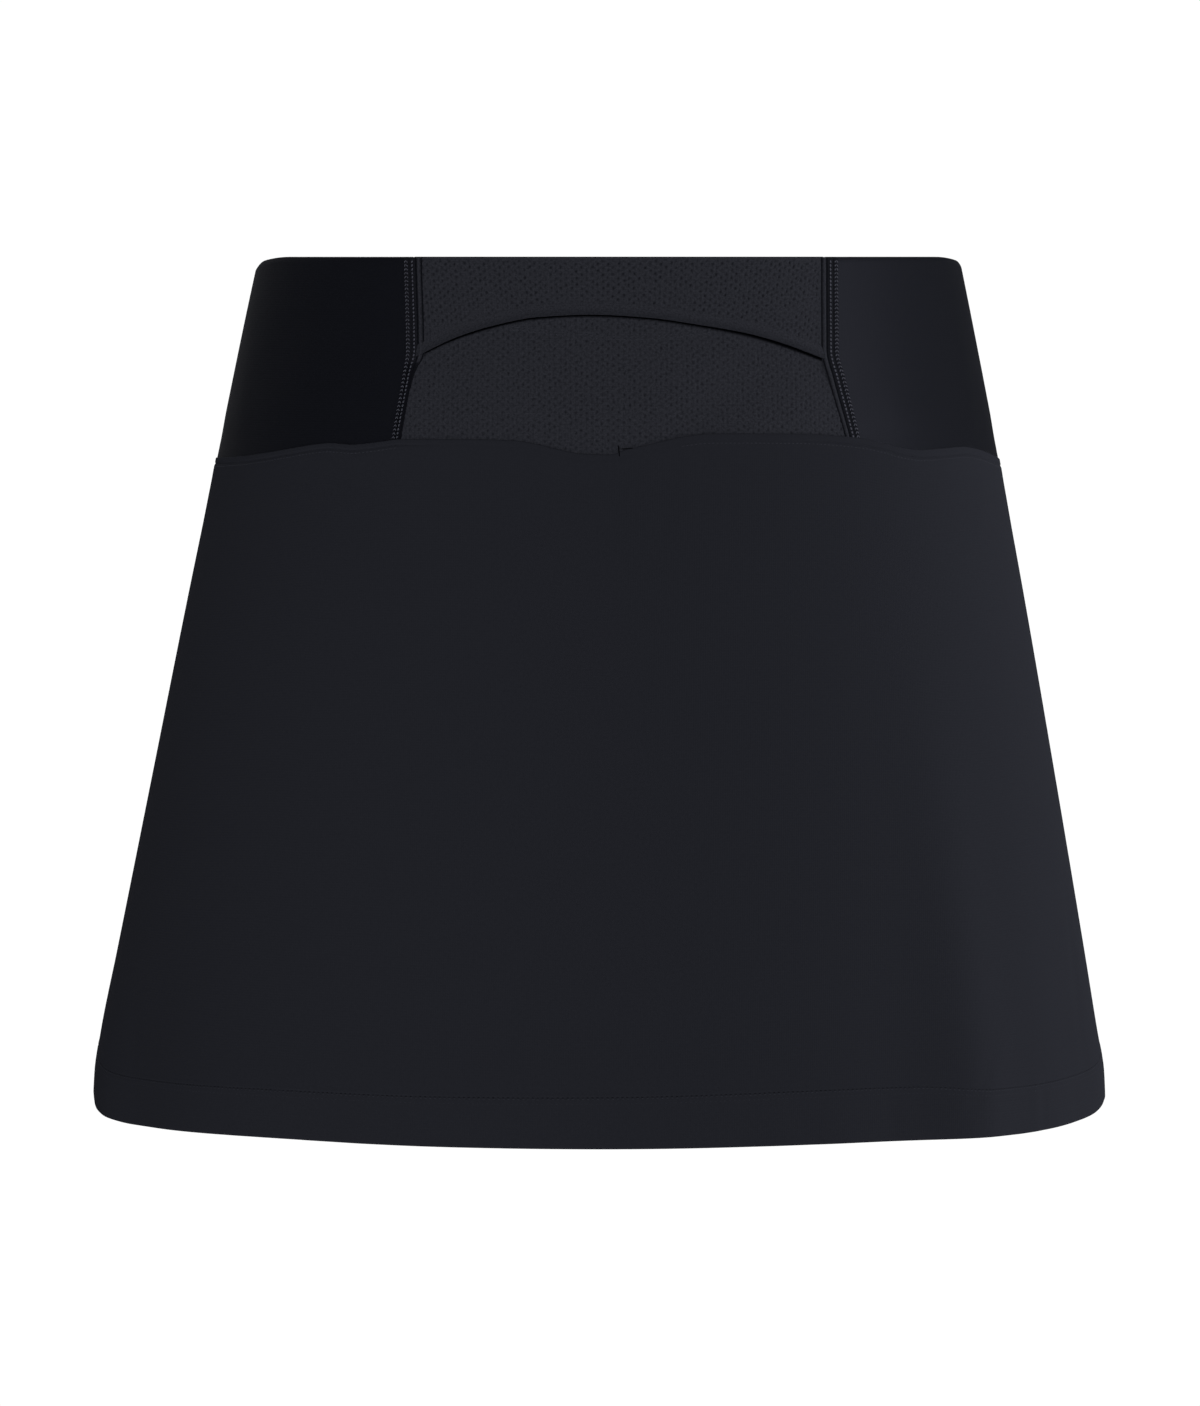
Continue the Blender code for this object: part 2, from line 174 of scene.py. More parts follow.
# %% Soft boxes
SOFT_BOXES = {
    # name: turn in degrees towards the picture's right, distance, height, size, watts, and what it adds
    "key": (103.0, 2.5, 0.30, 1.9, 102.0, "shade"),
    "shine": (50.0, 2.6, 0.30, 1.2, 20.0, "gloss"),
    "camera_side": (-13.0, 3.2, 1.00, 1.6, 66.0, "shade"),
    "front": (190.0, 1.8, 2.60, 1.4, 84.0, "both"),
}
for name, (turn, distance, height, size, watts, adds) in SOFT_BOXES.items():
    lamp = bpy.data.lights.new(name, "AREA")
    lamp.shape = "DISK"
    lamp.size = size
    lamp.energy = watts
    box = add_object(name, lamp)
    around = math.radians(turn)
    box.location = (-distance * math.sin(around), distance * math.cos(around), height)
    box.rotation_euler = (CAMERA_TARGET - box.location).to_track_quat("-Z", "Y").to_euler()
    box.visible_diffuse = adds != "gloss"
    box.visible_glossy = adds != "shade"
print("lights:", sorted(SOFT_BOXES))

# %% [markdown]
# ## Cloths
#
# All four cloths are polyester with some elastane, so none has a hard gloss. What tells them apart is the
# surface the yarn makes. Each pattern follows the cloth through its own UV map, which is in metres: one unit
# of UV is one metre of cloth, and a pattern's scale is worked out from its real pitch in millimetres.
#
# Blender's band texture repeats every 2 pi / 20 of a unit at scale 1, so its scale for a pitch is that length
# over the pitch. Real knit loops here are 0.3 to 0.5 mm wide, finer than a pixel of the picture, and they are
# drawn about twice as coarse as they are so that they still show close up. The four knits share their
# makeup, so one function makes them all, and what a cloth has besides is added to it afterwards.

# %% Cloth materials
BAND_TEXTURE_PERIOD = 2.0 * math.pi / 20.0
DYED_SHINE = "#dfe3fb"


def dyed_yarn(name, roughness, specular):
    """A material of dyed yarn with its even values set, its tree and its shader."""
    material = bpy.data.materials.new(name)
    material.use_nodes = True
    tree = material.node_tree
    shader = tree.nodes["Principled BSDF"]
    shader.inputs["Roughness"].default_value = roughness
    shader.inputs["Specular IOR Level"].default_value = specular
    shader.inputs["Specular Tint"].default_value = linear(DYED_SHINE)
    return material, tree, shader


def knit(name, roughness, specular, shades, grain, wale, course, row_share, strength, relief):
    """A knit material, and its yarn's colour: soft noise between two near shades.

    Its relief is ribs one wale apart along it, crossed by rows one course apart. All lengths are in metres.
    """
    material, tree, shader = dyed_yarn(name, roughness, specular)
    on_cloth = add_node(tree, "ShaderNodeUVMap", {}, uv_map="cloth").outputs["UV"]
    uneven = {"Vector": on_cloth, "Scale": 1.0 / grain, "Detail": 3.0, "Roughness": 0.65}
    noise = add_node(tree, "ShaderNodeTexNoise", uneven, noise_dimensions="2D").outputs["Fac"]
    dark, light = (linear(shade) for shade in shades)
    yarn = add_node(tree, "ShaderNodeMix", {0: noise, 6: dark, 7: light}, data_type="RGBA").outputs[2]
    tree.links.new(yarn, shader.inputs["Base Color"])
    heights = []
    for pitch, way in ((wale, "X"), (course, "Y")):
        waves = {"Vector": on_cloth, "Scale": BAND_TEXTURE_PERIOD / pitch}
        heights.append(add_node(tree, "ShaderNodeTexWave", waves, bands_direction=way).outputs["Fac"])
    both = add_node(tree, "ShaderNodeMix", {0: row_share, 2: heights[0], 3: heights[1]}).outputs[0]
    bump = add_node(tree, "ShaderNodeBump", {"Height": both, "Strength": strength, "Distance": relief})
    tree.links.new(bump.outputs["Normal"], shader.inputs["Normal"])
    return material, yarn


# %% [markdown]
# ### Interlock of the waistband
#
# Interlock is a double knit with the same smooth face on both sides. It is the darkest and sleekest cloth
# here: seen straight on it is nearly black, and where it turns towards the light it takes a broad soft shine.

# %% Interlock
interlock, _ = knit(
    "smooth_polyester_interlock", roughness=0.58, specular=0.38, shades=("#08090d", "#0a0b10"),
    grain=2.0 * MM, wale=0.7 * MM, course=0.9 * MM, row_share=0.35, strength=0.25, relief=0.12 * MM,
)

# %% [markdown]
# ### Birdseye mesh of the pocket
#
# Birdseye is a light knit with a small pit at every other loop. The pits are modelled, and the mesh carries
# how deep each point lies in a pit, so the material paints shade there, because less light leaves a pit than
# enters it. The same pit attribute carries the painted shade of the pocket's slot, the binding's roll and the
# dark lines in the flatlock seams.

# %% Birdseye mesh
birdseye, yarn = knit(
    "polyester_birdseye_mesh", roughness=0.85, specular=0.10, shades=("#0e0f13", "#313238"),
    grain=0.8 * MM, wale=0.68 * MM, course=0.89 * MM, row_share=0.5, strength=0.45, relief=0.15 * MM,
)
tree = birdseye.node_tree
# Painted shade: where the pit attribute is high, the yarn's colour is mixed towards near black.
pit_shade_reader = add_node(tree, "ShaderNodeAttribute", {}, attribute_name="pit", attribute_type="GEOMETRY")
pit = pit_shade_reader.outputs["Fac"]
painted_pit_shade = add_node(tree, "ShaderNodeMix", {0: pit, 6: yarn, 7: linear("#050609")}, data_type="RGBA")
tree.links.new(painted_pit_shade.outputs[2], tree.nodes["Principled BSDF"].inputs["Base Color"])

# %% [markdown]
# ### Knit of the skirt and of the shorts
#
# The skirt is a thin matt knit with a dry hand. It shows no rib from a step away, only a faint grain, and its
# low index of refraction keeps its edges from shining. The shorts are a denser stretch knit, a shade darker
# and a little sleeker.

# %% Skirt knit and shorts knit
skirt_knit, _ = knit(
    "matt_polyester_skirt_knit", roughness=0.88, specular=0.06, shades=("#1c1d22", "#202126"),
    grain=1.1 * MM, wale=0.8 * MM, course=1.0 * MM, row_share=0.5, strength=0.25, relief=0.10 * MM,
)
skirt_knit.node_tree.nodes["Principled BSDF"].inputs["IOR"].default_value = 1.2
shorts_knit, _ = knit(
    "stretch_shorts_knit", roughness=0.70, specular=0.15, shades=("#111217", "#15161b"),
    grain=1.6 * MM, wale=0.9 * MM, course=1.0 * MM, row_share=0.3, strength=0.3, relief=0.12 * MM,
)

# %% [markdown]
# ### Sewing thread
#
# The thread is textured polyester, dyed to match. Its colour is set paler than that black, a painted
# highlight, and it is a little smoother than the cloth, so each stitch catches a small light. The twist is
# far finer than the picture, and slanting bands 0.4 mm apart stand for it.

# %% Sewing thread
TWIST_PITCH = 0.4 * MM

thread, tree, shader = dyed_yarn("sewing_thread_with_painted_highlight", 0.45, 0.25)
# Painted highlight: this grey is paler than the black dye, so the stitches show light.
shader.inputs["Base Color"].default_value = linear("#3c3d45")
on_thread = add_node(tree, "ShaderNodeTexCoord", {}).outputs["Object"]
waves = {"Vector": on_thread, "Scale": BAND_TEXTURE_PERIOD / TWIST_PITCH}
twist = add_node(tree, "ShaderNodeTexWave", waves, bands_direction="DIAGONAL").outputs["Fac"]
bump = add_node(tree, "ShaderNodeBump", {"Height": twist, "Strength": 0.3, "Distance": 0.08 * MM})
tree.links.new(bump.outputs["Normal"], shader.inputs["Normal"])

# %% [markdown]
# The skirt's own stitches are of a finer, duller thread that nearly matches the knit. Needle holes and the
# tack's dense zigzag are drawn in a thread painted near black, a painted shade, because light goes into them
# and hardly comes out.

# %% Skirt thread, and thread in shadow
soft_thread, _, shader = dyed_yarn("matt_textured_sewing_thread", 0.80, 0.12)
shader.inputs["Base Color"].default_value = linear("#292a30")
# Painted shade: this near-black thread stands for the dark of holes and dense stitching.
shade_painted_thread, _, shader = dyed_yarn("black_thread_in_shadow", 0.90, 0.05)
shader.inputs["Base Color"].default_value = linear("#040406")
print("cloths and threads:", [m.name for m in bpy.data.materials])

# %% [markdown]
# ## The garment's form
#
# Every piece of cloth lies on one form, a stack of ovals that widen from the waist to the hem. A place on it
# is an angle round the body, in degrees from the centre back towards the wearer's right, and a depth below
# the waist. The same short tables shaped the solids, so the shells lie where the solids are. They could be
# read back from the solids' facets, but the tables give a smooth surface at any fineness.


# %% Tables and curves
def table(columns, *rows):
    """A short table with named columns."""
    return dict(zip(columns.split(), np.array(rows, float).T, strict=True))


def read(rows, column, at):
    """A column's value on a smooth curve through the table's rows, with no overshoot between them."""
    x, y = next(iter(rows.values())), rows[column]
    rise = np.diff(y) / np.diff(x)
    turning = rise[:-1] * rise[1:] <= 0
    total = np.where(turning, 1.0, rise[:-1] + rise[1:])
    middle = np.where(turning, 0.0, 2.0 * rise[:-1] * rise[1:] / total)
    slope = np.concatenate([rise[:1], middle, rise[-1:]])
    k = np.clip(np.searchsorted(x, at, side="right") - 1, 0, len(x) - 2)
    span = x[k + 1] - x[k]
    t = np.clip((at - x[k]) / span, 0.0, 1.0)
    leave = slope[k] * span * t * (1.0 - t) ** 2
    arrive = slope[k + 1] * span * t * t * (t - 1.0)
    between = y[k] * (1.0 + 2.0 * t) * (1.0 - t) ** 2 + y[k + 1] * t * t * (3.0 - 2.0 * t)
    return between + leave + arrive


def ease(value, start, full):
    """A soft step that is 0 up to start and 1 from full on."""
    share = np.clip((value - start) / (full - start), 0.0, 1.0)
    return share * share * (3.0 - 2.0 * share)


def hump(away, width):
    """A soft hump of height 1 that fades out over a width."""
    return np.exp(-((away / width) ** 2))


# %% Sections and edges, as in the solids
SECTIONS = table(
    "below half_width half_depth lean back",
    (0.000, 0.1380, 0.1000, 0.0000, 0.000),
    (0.021, 0.1424, 0.1035, 0.0002, 0.001),
    (0.076, 0.1534, 0.1140, 0.0006, 0.003),
    (0.131, 0.1642, 0.1235, 0.0013, 0.005),
    (0.203, 0.1777, 0.1340, 0.0023, 0.006),
    (0.273, 0.1907, 0.1435, 0.0034, 0.005),
    (0.305, 0.1966, 0.1475, 0.0040, 0.004),
    (0.321, 0.1991, 0.1492, 0.0039, 0.004),
    (0.341, 0.1999, 0.1502, 0.0040, 0.004),
)
WAIST_EDGE = table(
    "angle below",
    *[(-180, 0.0080), (-120, 0.0075), (-90, 0.0052), (-79, 0.0014), (-66, 0.0000)],
    *[(66, 0.0000), (79, 0.0014), (90, 0.0050), (120, 0.0075), (180, 0.0080)],
)
SKIRT_TOP = table(
    "angle below",
    *[(-180, 0.0800), (-88, 0.0790), (-70, 0.0778), (-62, 0.0763), (-55, 0.0743), (-49, 0.0725)],
    *[(-46, 0.0720), (-42, 0.0725), (-38, 0.0717), (-33, 0.0703), (-22, 0.0702), (-15, 0.0707)],
    *[(-11, 0.0725), (-8, 0.0744), (-5, 0.0757), (-1, 0.0760), (1, 0.0740), (3, 0.0729)],
    *[(6, 0.0711), (10, 0.0689), (14, 0.0680), (27, 0.0682), (37, 0.0697), (42, 0.0716)],
    *[(46, 0.0737), (51, 0.0749), (57, 0.0744), (63, 0.0740), (69, 0.0752), (76, 0.0774)],
    *[(83, 0.0790), (90, 0.0798), (180, 0.0800)],
)
HEM_EDGE = table(
    "angle below",
    *[(-180, 0.3390), (-112, 0.3374), (-105, 0.3360), (-100, 0.3338), (-95, 0.3310), (-90, 0.3284)],
    *[(-84, 0.3318), (-80, 0.3342), (-75, 0.3364), (-68, 0.3376), (-45, 0.3381), (-19, 0.3398)],
    *[(0, 0.3402), (33, 0.3394), (52, 0.3394), (60, 0.3387), (68, 0.3376), (74, 0.3361)],
    *[(79, 0.3341), (84, 0.3316), (90, 0.3290), (95, 0.3308), (100, 0.3332), (106, 0.3357)],
    *[(113, 0.3372), (180, 0.3390)],
)
PANEL_EDGES = table(
    "below left right",
    (0.000, 0.0785, 0.0802),
    (0.036, 0.0775, 0.0802),
    (0.047, 0.0795, 0.0828),
    (0.070, 0.0835, 0.0891),
    (0.088, 0.0866, 0.0938),
)
POCKET_MOUTH = table(
    "across below",
    *[(-0.078, 0.0388), (-0.060, 0.0308), (-0.045, 0.0263), (-0.030, 0.0234), (-0.010, 0.0224)],
    *[(0.010, 0.0235), (0.030, 0.0264), (0.047, 0.0294), (0.063, 0.0337), (0.081, 0.0400)],
)
POCKET_TOP_HEM = table(
    "across below", (-0.082, 0.0120), (-0.045, 0.0170), (0.005, 0.0215), (0.042, 0.0180), (0.085, 0.0130)
)
SHORTS_EASE = table("below ease", (0.088, 0.0010), (0.104, 0.0020), (0.120, 0.0032), (0.150, 0.0055))


def edge(rows, angle, column="below"):
    """The depth of an edge that runs round the body, or another column of such a table."""
    return read(rows, column, (angle + 180.0) % 360.0 - 180.0)


# %% [markdown]
# ## Folds
#
# The skirt hangs nearly smooth. Towards the hem it stands in shallow flutes, and the pull of the hem's sewing
# leaves small creases. They could come from a cloth simulation, but the photograph shows where each one lies,
# so they are placed one by one: a flute is a long ridge or trough that grows towards the hem, and a crease is
# a short soft line of its own length, width and tilt. Creases at the sides and in front are uneven in the
# same way.

# %% Flutes and creases
FLUTES = table(
    "angle spread stands_out starts",
    (-150, 11, 0.0018, 0.210),
    (-125, 9, -0.0016, 0.220),
    (-102, 6, 0.0012, 0.230),
    (-79, 5, 0.0012, 0.230),
    (-66, 7, -0.0022, 0.230),
    (-48, 9, 0.0010, 0.240),
    (34, 7, -0.0012, 0.240),
    (44.5, 6.5, 0.0044, 0.130),
    (68, 7, -0.0016, 0.200),
    (104, 7, 0.0014, 0.220),
    (128, 10, -0.0018, 0.210),
    (155, 12, 0.0016, 0.220),
)
CREASES = table(
    "angle below length width tilt height",
    (74.0, 0.284, 0.034, 0.0050, -9, -0.00050),
    (45.0, 0.320, 0.014, 0.0028, -38, -0.00030),
    (50.0, 0.306, 0.016, 0.0030, -44, 0.00026),
    (0.8, 0.334, 0.009, 0.0014, 4, -0.00032),
    (2.0, 0.333, 0.008, 0.0016, -6, 0.00020),
    (33.0, 0.332, 0.008, 0.0018, 8, -0.00024),
    (56.5, 0.329, 0.012, 0.0019, 2, 0.00034),
    (58.6, 0.330, 0.011, 0.0015, -3, -0.00026),
    (-7.0, 0.333, 0.007, 0.0016, 10, -0.00022),
    (-58.0, 0.321, 0.016, 0.0040, 30, -0.00028),
    (-70.0, 0.300, 0.024, 0.0046, 12, -0.00040),
    (-81.0, 0.262, 0.022, 0.0040, 6, 0.00040),
    (66.0, 0.098, 0.016, 0.0060, -55, 0.00022),
    (-40.0, 0.094, 0.014, 0.0050, 60, 0.00018),
    (2.6, 0.0800, 0.0045, 0.0011, -30, -0.00028),
    (-47.0, 0.0790, 0.0090, 0.0014, 84, 0.00022),
    (-39.0, 0.0776, 0.0050, 0.0012, 88, 0.00018),
    (57.0, 0.0800, 0.0080, 0.0014, 92, 0.00020),
    (98.0, 0.300, 0.026, 0.0045, -8, -0.00040),
    (112.0, 0.326, 0.012, 0.0024, 20, -0.00028),
    (131.0, 0.331, 0.010, 0.0020, -12, 0.00026),
    (147.0, 0.318, 0.018, 0.0038, 26, -0.00030),
    (168.0, 0.333, 0.008, 0.0017, 5, -0.00026),
    (-172.0, 0.329, 0.011, 0.0022, -14, 0.00026),
    (-158.0, 0.312, 0.020, 0.0042, -22, -0.00034),
    (-139.0, 0.332, 0.009, 0.0018, 9, -0.00024),
    (-118.0, 0.305, 0.022, 0.0044, 16, -0.00036),
    (-97.0, 0.328, 0.012, 0.0022, -10, 0.00028),
)
METRES_A_DEGREE = math.radians(1.0) * 0.175


def away_from(angle, middle):
    """How many degrees an angle lies from a middle, the short way round."""
    return (angle - middle + 180.0) % 360.0 - 180.0


def flutes(angle, below):
    """How far the flutes move the skirt's surface out."""
    hem = SECTIONS["below"][-1]
    return sum(
        out * hump(away_from(angle, middle), spread) * ease(below, starts, hem)
        for middle, spread, out, starts in zip(*FLUTES.values(), strict=True)
    )


def creases(rows, angle, below):
    """How far a table's small creases or dents move a surface out."""
    total = np.zeros_like(angle)
    for middle, depth, length, width, tilt, height in zip(*rows.values(), strict=True):
        side = away_from(angle, middle) * METRES_A_DEGREE
        down = below - depth
        turn = math.radians(tilt)
        along = down * math.cos(turn) + side * math.sin(turn)
        across = side * math.cos(turn) - down * math.sin(turn)
        total += height * hump(across, width) * hump(along, length)
    return total


# %% [markdown]
# The hem's stitches draw the cloth in a little more here and there, so the turned edge ripples. The ripples
# are drawn at random from a fixed seed: each has its own place, width and height, and all fade out above the
# hem's stitch line.

# %% Ripples along the hem
RIPPLE_COUNT = 64
RIPPLES_START = 24.0 * MM
RIPPLES_FULL = 10.0 * MM
ripple_draw = random.Random(11)
RIPPLES = [
    (
        ripple_draw.uniform(-180.0, 180.0),
        ripple_draw.uniform(0.8, 2.2),
        ripple_draw.choice([-1.0, 1.0]) * ripple_draw.uniform(0.05, 0.17) * MM,
    )
    for _ in range(RIPPLE_COUNT)
]


def ripples(angle, below):
    """How far the hem's ripples move its surface out."""
    hem = edge(HEM_EDGE, angle)
    near_hem = ease(below, hem - RIPPLES_START, hem - RIPPLES_FULL)
    waves = sum(height * hump(away_from(angle, middle), width) for middle, width, height in RIPPLES)
    return near_hem * waves


# %% [markdown]
# One function turns an angle, a depth and a distance inwards into a point. The angle on the back at a
# distance from the centre line, and the angle a small way further along the surface, come from the same
# ovals.


# %% Points on the form
def place(angle, below, inward):
    """Points at angles and depths, so far inside the garment's outside."""
    turn = np.radians(angle)
    out = flutes(angle, below) - inward
    across = read(SECTIONS, "lean", below) - (read(SECTIONS, "half_width", below) + out) * np.sin(turn)
    behind = read(SECTIONS, "back", below) + (read(SECTIONS, "half_depth", below) + out) * np.cos(turn)
    return np.stack([across, behind, -below], axis=-1)


def angle_across(across, below):
    """The angle on the back at a distance from the centre back, seen from behind."""
    return np.degrees(np.arcsin(across / read(SECTIONS, "half_width", below)))


def shifted(angle, below, distance):
    """The angle moved along the surface by a distance, positive to the wearer's right."""
    turn = np.radians(angle)
    wide = read(SECTIONS, "half_width", below) * np.cos(turn)
    deep = read(SECTIONS, "half_depth", below) * np.sin(turn)
    return angle + np.degrees(distance / np.hypot(wide, deep))


def between(first, last, gap, share, below):
    """The angle a share of the way from one seam to another, with half a gap left at each."""
    start = shifted(first, below, gap / 2)
    stop = shifted(last, below, -gap / 2)
    return start + (stop - start) * share


def mesh_seam(side, below):
    """The angle of the seam between mesh and band. side is 1 on the picture's right and -1 on its left."""
    return angle_across(side * read(PANEL_EDGES, "right" if side > 0 else "left", below), below)


def mean_radius(below):
    """The oval's mean radius at a depth, which turns an angle into a length of cloth."""
    return (read(SECTIONS, "half_width", below) + read(SECTIONS, "half_depth", below)) / 2.0


# %% [markdown]
# ## A sheet of cloth
#
# A cloth could be drawn as lists of points and faces, or grown by extruding an edge. Here each sheet starts
# as a flat grid from `create_grid`, like cloth on a cutting table, and its points are then moved onto the
# form. Grid lines may stand close together where a seam needs them and far apart elsewhere. Solidify gives
# the sheet its thickness towards the inside, and a Bevel rounds only its rims, whose angle is far steeper
# than any fold.

# %% Make a sheet
RIM_ANGLE = math.radians(75.0)


def grid_sheet(name, columns, rows, form):
    """A mesh with grid lines at columns and rows. form gives its points, places on the cloth and painted
    shade.
    """
    grid = bmesh.new()
    bmesh.ops.create_grid(grid, x_segments=len(columns) - 1, y_segments=len(rows) - 1, size=1.0)
    mesh = bpy.data.meshes.new(name)
    grid.to_mesh(mesh)
    grid.free()
    flat = np.empty(len(mesh.vertices) * 3, np.float32)
    mesh.vertices.foreach_get("co", flat)
    flat = flat.reshape(-1, 3)
    column = np.asarray(columns)[np.rint((flat[:, 0] + 1.0) / 2.0 * (len(columns) - 1)).astype(int)]
    row = np.asarray(rows)[np.rint((1.0 - flat[:, 1]) / 2.0 * (len(rows) - 1)).astype(int)]
    points, on_cloth, pits = form(column, row)
    mesh.vertices.foreach_set("co", points.astype(np.float32).ravel())
    corners = np.empty(len(mesh.loops), np.int32)
    mesh.loops.foreach_get("vertex_index", corners)
    mesh.uv_layers.new(name="cloth").uv.foreach_set("vector", on_cloth[corners].astype(np.float32).ravel())
    # The pit attribute holds painted shade, which the birdseye material reads.
    depth = mesh.attributes.new("pit", "FLOAT", "POINT")
    depth.data.foreach_set("value", pits.astype(np.float32))
    mesh.shade_smooth()
    mesh.update()
    return mesh


def add_piece(name, mesh, material, nodes=()):
    """Puts a finished mesh in the scene, riding on the garment, in place of the named solids."""
    mesh.materials.clear()
    mesh.materials.append(material)
    piece = add_object(name, mesh)
    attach(piece, "root")
    if nodes:
        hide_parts(*nodes)
    return piece


def thicken(piece, wall, rim):
    """Gives a sheet its thickness towards the inside, and rounds its rims."""
    solid = piece.modifiers.new("thickness", "SOLIDIFY")
    solid.thickness = wall
    solid.offset = -1.0
    rounding = piece.modifiers.new("rims", "BEVEL")
    rounding.width = rim
    rounding.segments = 2
    rounding.profile = 0.5
    rounding.limit_method = "ANGLE"
    rounding.angle_limit = RIM_ANGLE


def add_cloth(name, nodes, material, form, wall, rim, columns, rows):
    """A piece of cloth: a sheet moved onto the form, with its thickness, in place of the named nodes."""
    piece = add_piece(name, grid_sheet(name, columns, rows, form), material, nodes)
    thicken(piece, wall, rim)
    return piece


# %% [markdown]
# ## Waistband
#
# The band is one piece of interlock that wraps from the left back seam round the front to the right back
# seam. It is doubled, so it is the thickest cloth here, and its top is a fold. It gives way a little under
# the lapped skirt. A few wide, very shallow dents keep its shine from looking like a machined tube.

# %% Waistband
SEAM_GAP = 0.3 * MM
BAND_DEPTH = 0.088
BAND_WALL = 1.1 * MM
BAND_RIM = 0.42 * MM
LAP_SINK = 0.24 * MM
LAP_STARTS = 0.060
LAP_FULL = 0.072
BAND_DENTS = table(
    "angle below length width tilt height",
    (58.0, 0.030, 0.022, 0.016, 62, -0.00035),
    (70.0, 0.052, 0.026, 0.012, -20, 0.00030),
    (47.0, 0.060, 0.018, 0.012, 40, 0.00025),
    (-62.0, 0.036, 0.024, 0.015, -58, -0.00030),
    (-74.0, 0.058, 0.022, 0.012, 25, 0.00030),
    (110.0, 0.040, 0.030, 0.020, 50, -0.00035),
    (150.0, 0.055, 0.028, 0.020, -45, 0.00030),
    (-165.0, 0.034, 0.030, 0.022, 70, -0.00035),
    (-120.0, 0.050, 0.026, 0.018, -35, 0.00030),
)


def lap_sink(below):
    """How far band, pocket and seams give way under the skirt's lapped edge."""
    return LAP_SINK * ease(below, LAP_STARTS, LAP_FULL)


def band_form(share, level):
    """Where the band's grid goes: a share of the way round, and a depth below its top."""
    angle = between(mesh_seam(1, level), 360.0 + mesh_seam(-1, level), SEAM_GAP, share, level)
    top = edge(WAIST_EDGE, angle)
    below = top + (BAND_DEPTH - top) * level / BAND_DEPTH
    points = place(angle, below, lap_sink(below) - creases(BAND_DENTS, angle, below))
    on_cloth = np.stack([np.radians(angle) * mean_radius(below), below], axis=-1)
    return points, on_cloth, np.zeros_like(angle)


band = add_cloth(
    "band_wrap", ["waistband"], interlock, band_form, BAND_WALL, BAND_RIM,
    columns=np.linspace(0, 1, 221), rows=np.linspace(0, BAND_DEPTH, 37),
)
print("waistband:", len(band.data.polygons), "faces")

# %% [markdown]
# ## Birdseye pits
#
# The mesh has staggered rows of small oval pits, about 2 mm apart across and 2.7 mm down. They are part of
# the shape: the sheet's own points sink in each pit. A bump map would be lighter, but its pits would vanish
# at the edges of the cloth and in the exported mesh. Knitting is never quite even, so a fixed table of random
# numbers moves each pit a little and makes it shallower or deeper. The pits fade out beside seams, where the
# cloth is sewn flat, and the flap's columns draw together downwards, because its top edge is stretched.

# %% Pits of the birdseye mesh
PIT_ACROSS = 2.05 * MM
PIT_DOWN = 2.72 * MM
PIT_HALF_WIDTH = 0.43 * MM
PIT_HALF_HEIGHT = 0.57 * MM
PIT_DEPTH = 0.32 * MM
# PIT_SHADE is how much painted shade the deepest pit gets.
PIT_SHADE = 0.95
PIT_JITTER = 0.26 * MM
PRESSED_FROM = 3.0 * MM
PRESSED_FLAT = 1.2 * MM
UNEVEN = np.random.default_rng(7).uniform(-1.0, 1.0, (3, 64, 64))


def pits_at(along, below):
    """How deep a place lies in a pit, from 0 between pits to 1 at the middle of the deepest."""
    line = along / PIT_ACROSS
    column = np.rint(line)
    row = below / PIT_DOWN + 0.5 * (column % 2)
    nearest = np.rint(row)
    aside, down, deep = UNEVEN[:, column.astype(int) % 64, nearest.astype(int) % 64]
    sideways = (line - column) * PIT_ACROSS - PIT_JITTER * aside
    downwards = (row - nearest) * PIT_DOWN - PIT_JITTER * down
    return (0.7 + 0.3 * deep) * hump(sideways, PIT_HALF_WIDTH) * hump(downwards, PIT_HALF_HEIGHT)


def mouth(across):
    """The depth of the pocket's mouth, the flap's free lower edge."""
    return read(POCKET_MOUTH, "below", across)


def across_at(share):
    """The distance from the centre back at a share of the way from the left seam to the right one."""
    left, right = PANEL_EDGES["left"][1], PANEL_EDGES["right"][1]
    return -left + (left + right) * share


def mesh_angle(share, below):
    """The angle at a share of the way between the mesh's two seams."""
    return between(mesh_seam(-1, below), mesh_seam(1, below), SEAM_GAP, share, below)


def mesh_points(share, below, inward, plain, gather=0.0):
    """Points of a mesh piece with its pits, less where plain is 1, and with its side edges pressed flat.

    gather is how much closer the columns of pits come for each metre down.
    """
    angle = mesh_angle(share, below)
    along = np.radians(angle) * read(SECTIONS, "half_width", below) / (1.0 - gather * below)
    half = read(PANEL_EDGES, "right", below)
    pressed = ease(np.abs(across_at(share)), half - PRESSED_FROM, half - PRESSED_FLAT)
    pits = pits_at(along, below) * (1.0 - np.maximum(plain, pressed))
    points = place(angle, below, inward + PIT_DEPTH * pits)
    # The third value is the painted shade of the pits.
    return points, np.stack([along, below], axis=-1), PIT_SHADE * pits


# %% [markdown]
# ## Back flap and its binding
#
# The flap is the mesh panel from the waist to the pocket's mouth. Its arched lower edge is bound with a strip
# of smooth cloth that rolls over the edge and turns under. The roll is drawn by letting the grid run down the
# face, round a half circle and a little way back up inside. The binding's face is painted darker towards the
# roll, and near black round and under it, a painted shade.

# %% Back flap
MESH_WALL = 0.8 * MM
MESH_RIM = 0.25 * MM
BINDING_HEIGHT = 4.8 * MM
FLAP_TUCKED = 0.8 * MM
FLAP_GATHER = 2.0


def flap_form(share, level):
    """Where the flap's grid goes: across, and a share of its height."""
    across = across_at(share)
    bottom = mouth(across) - BINDING_HEIGHT + FLAP_TUCKED
    below = level * bottom
    at_top = 1.0 - ease(below, 0.6 * MM, 2.0 * MM)
    at_bottom = ease(below, bottom - 1.6 * MM, bottom - 0.5 * MM)
    return mesh_points(share, below, 0.0, np.maximum(at_top, at_bottom), FLAP_GATHER)


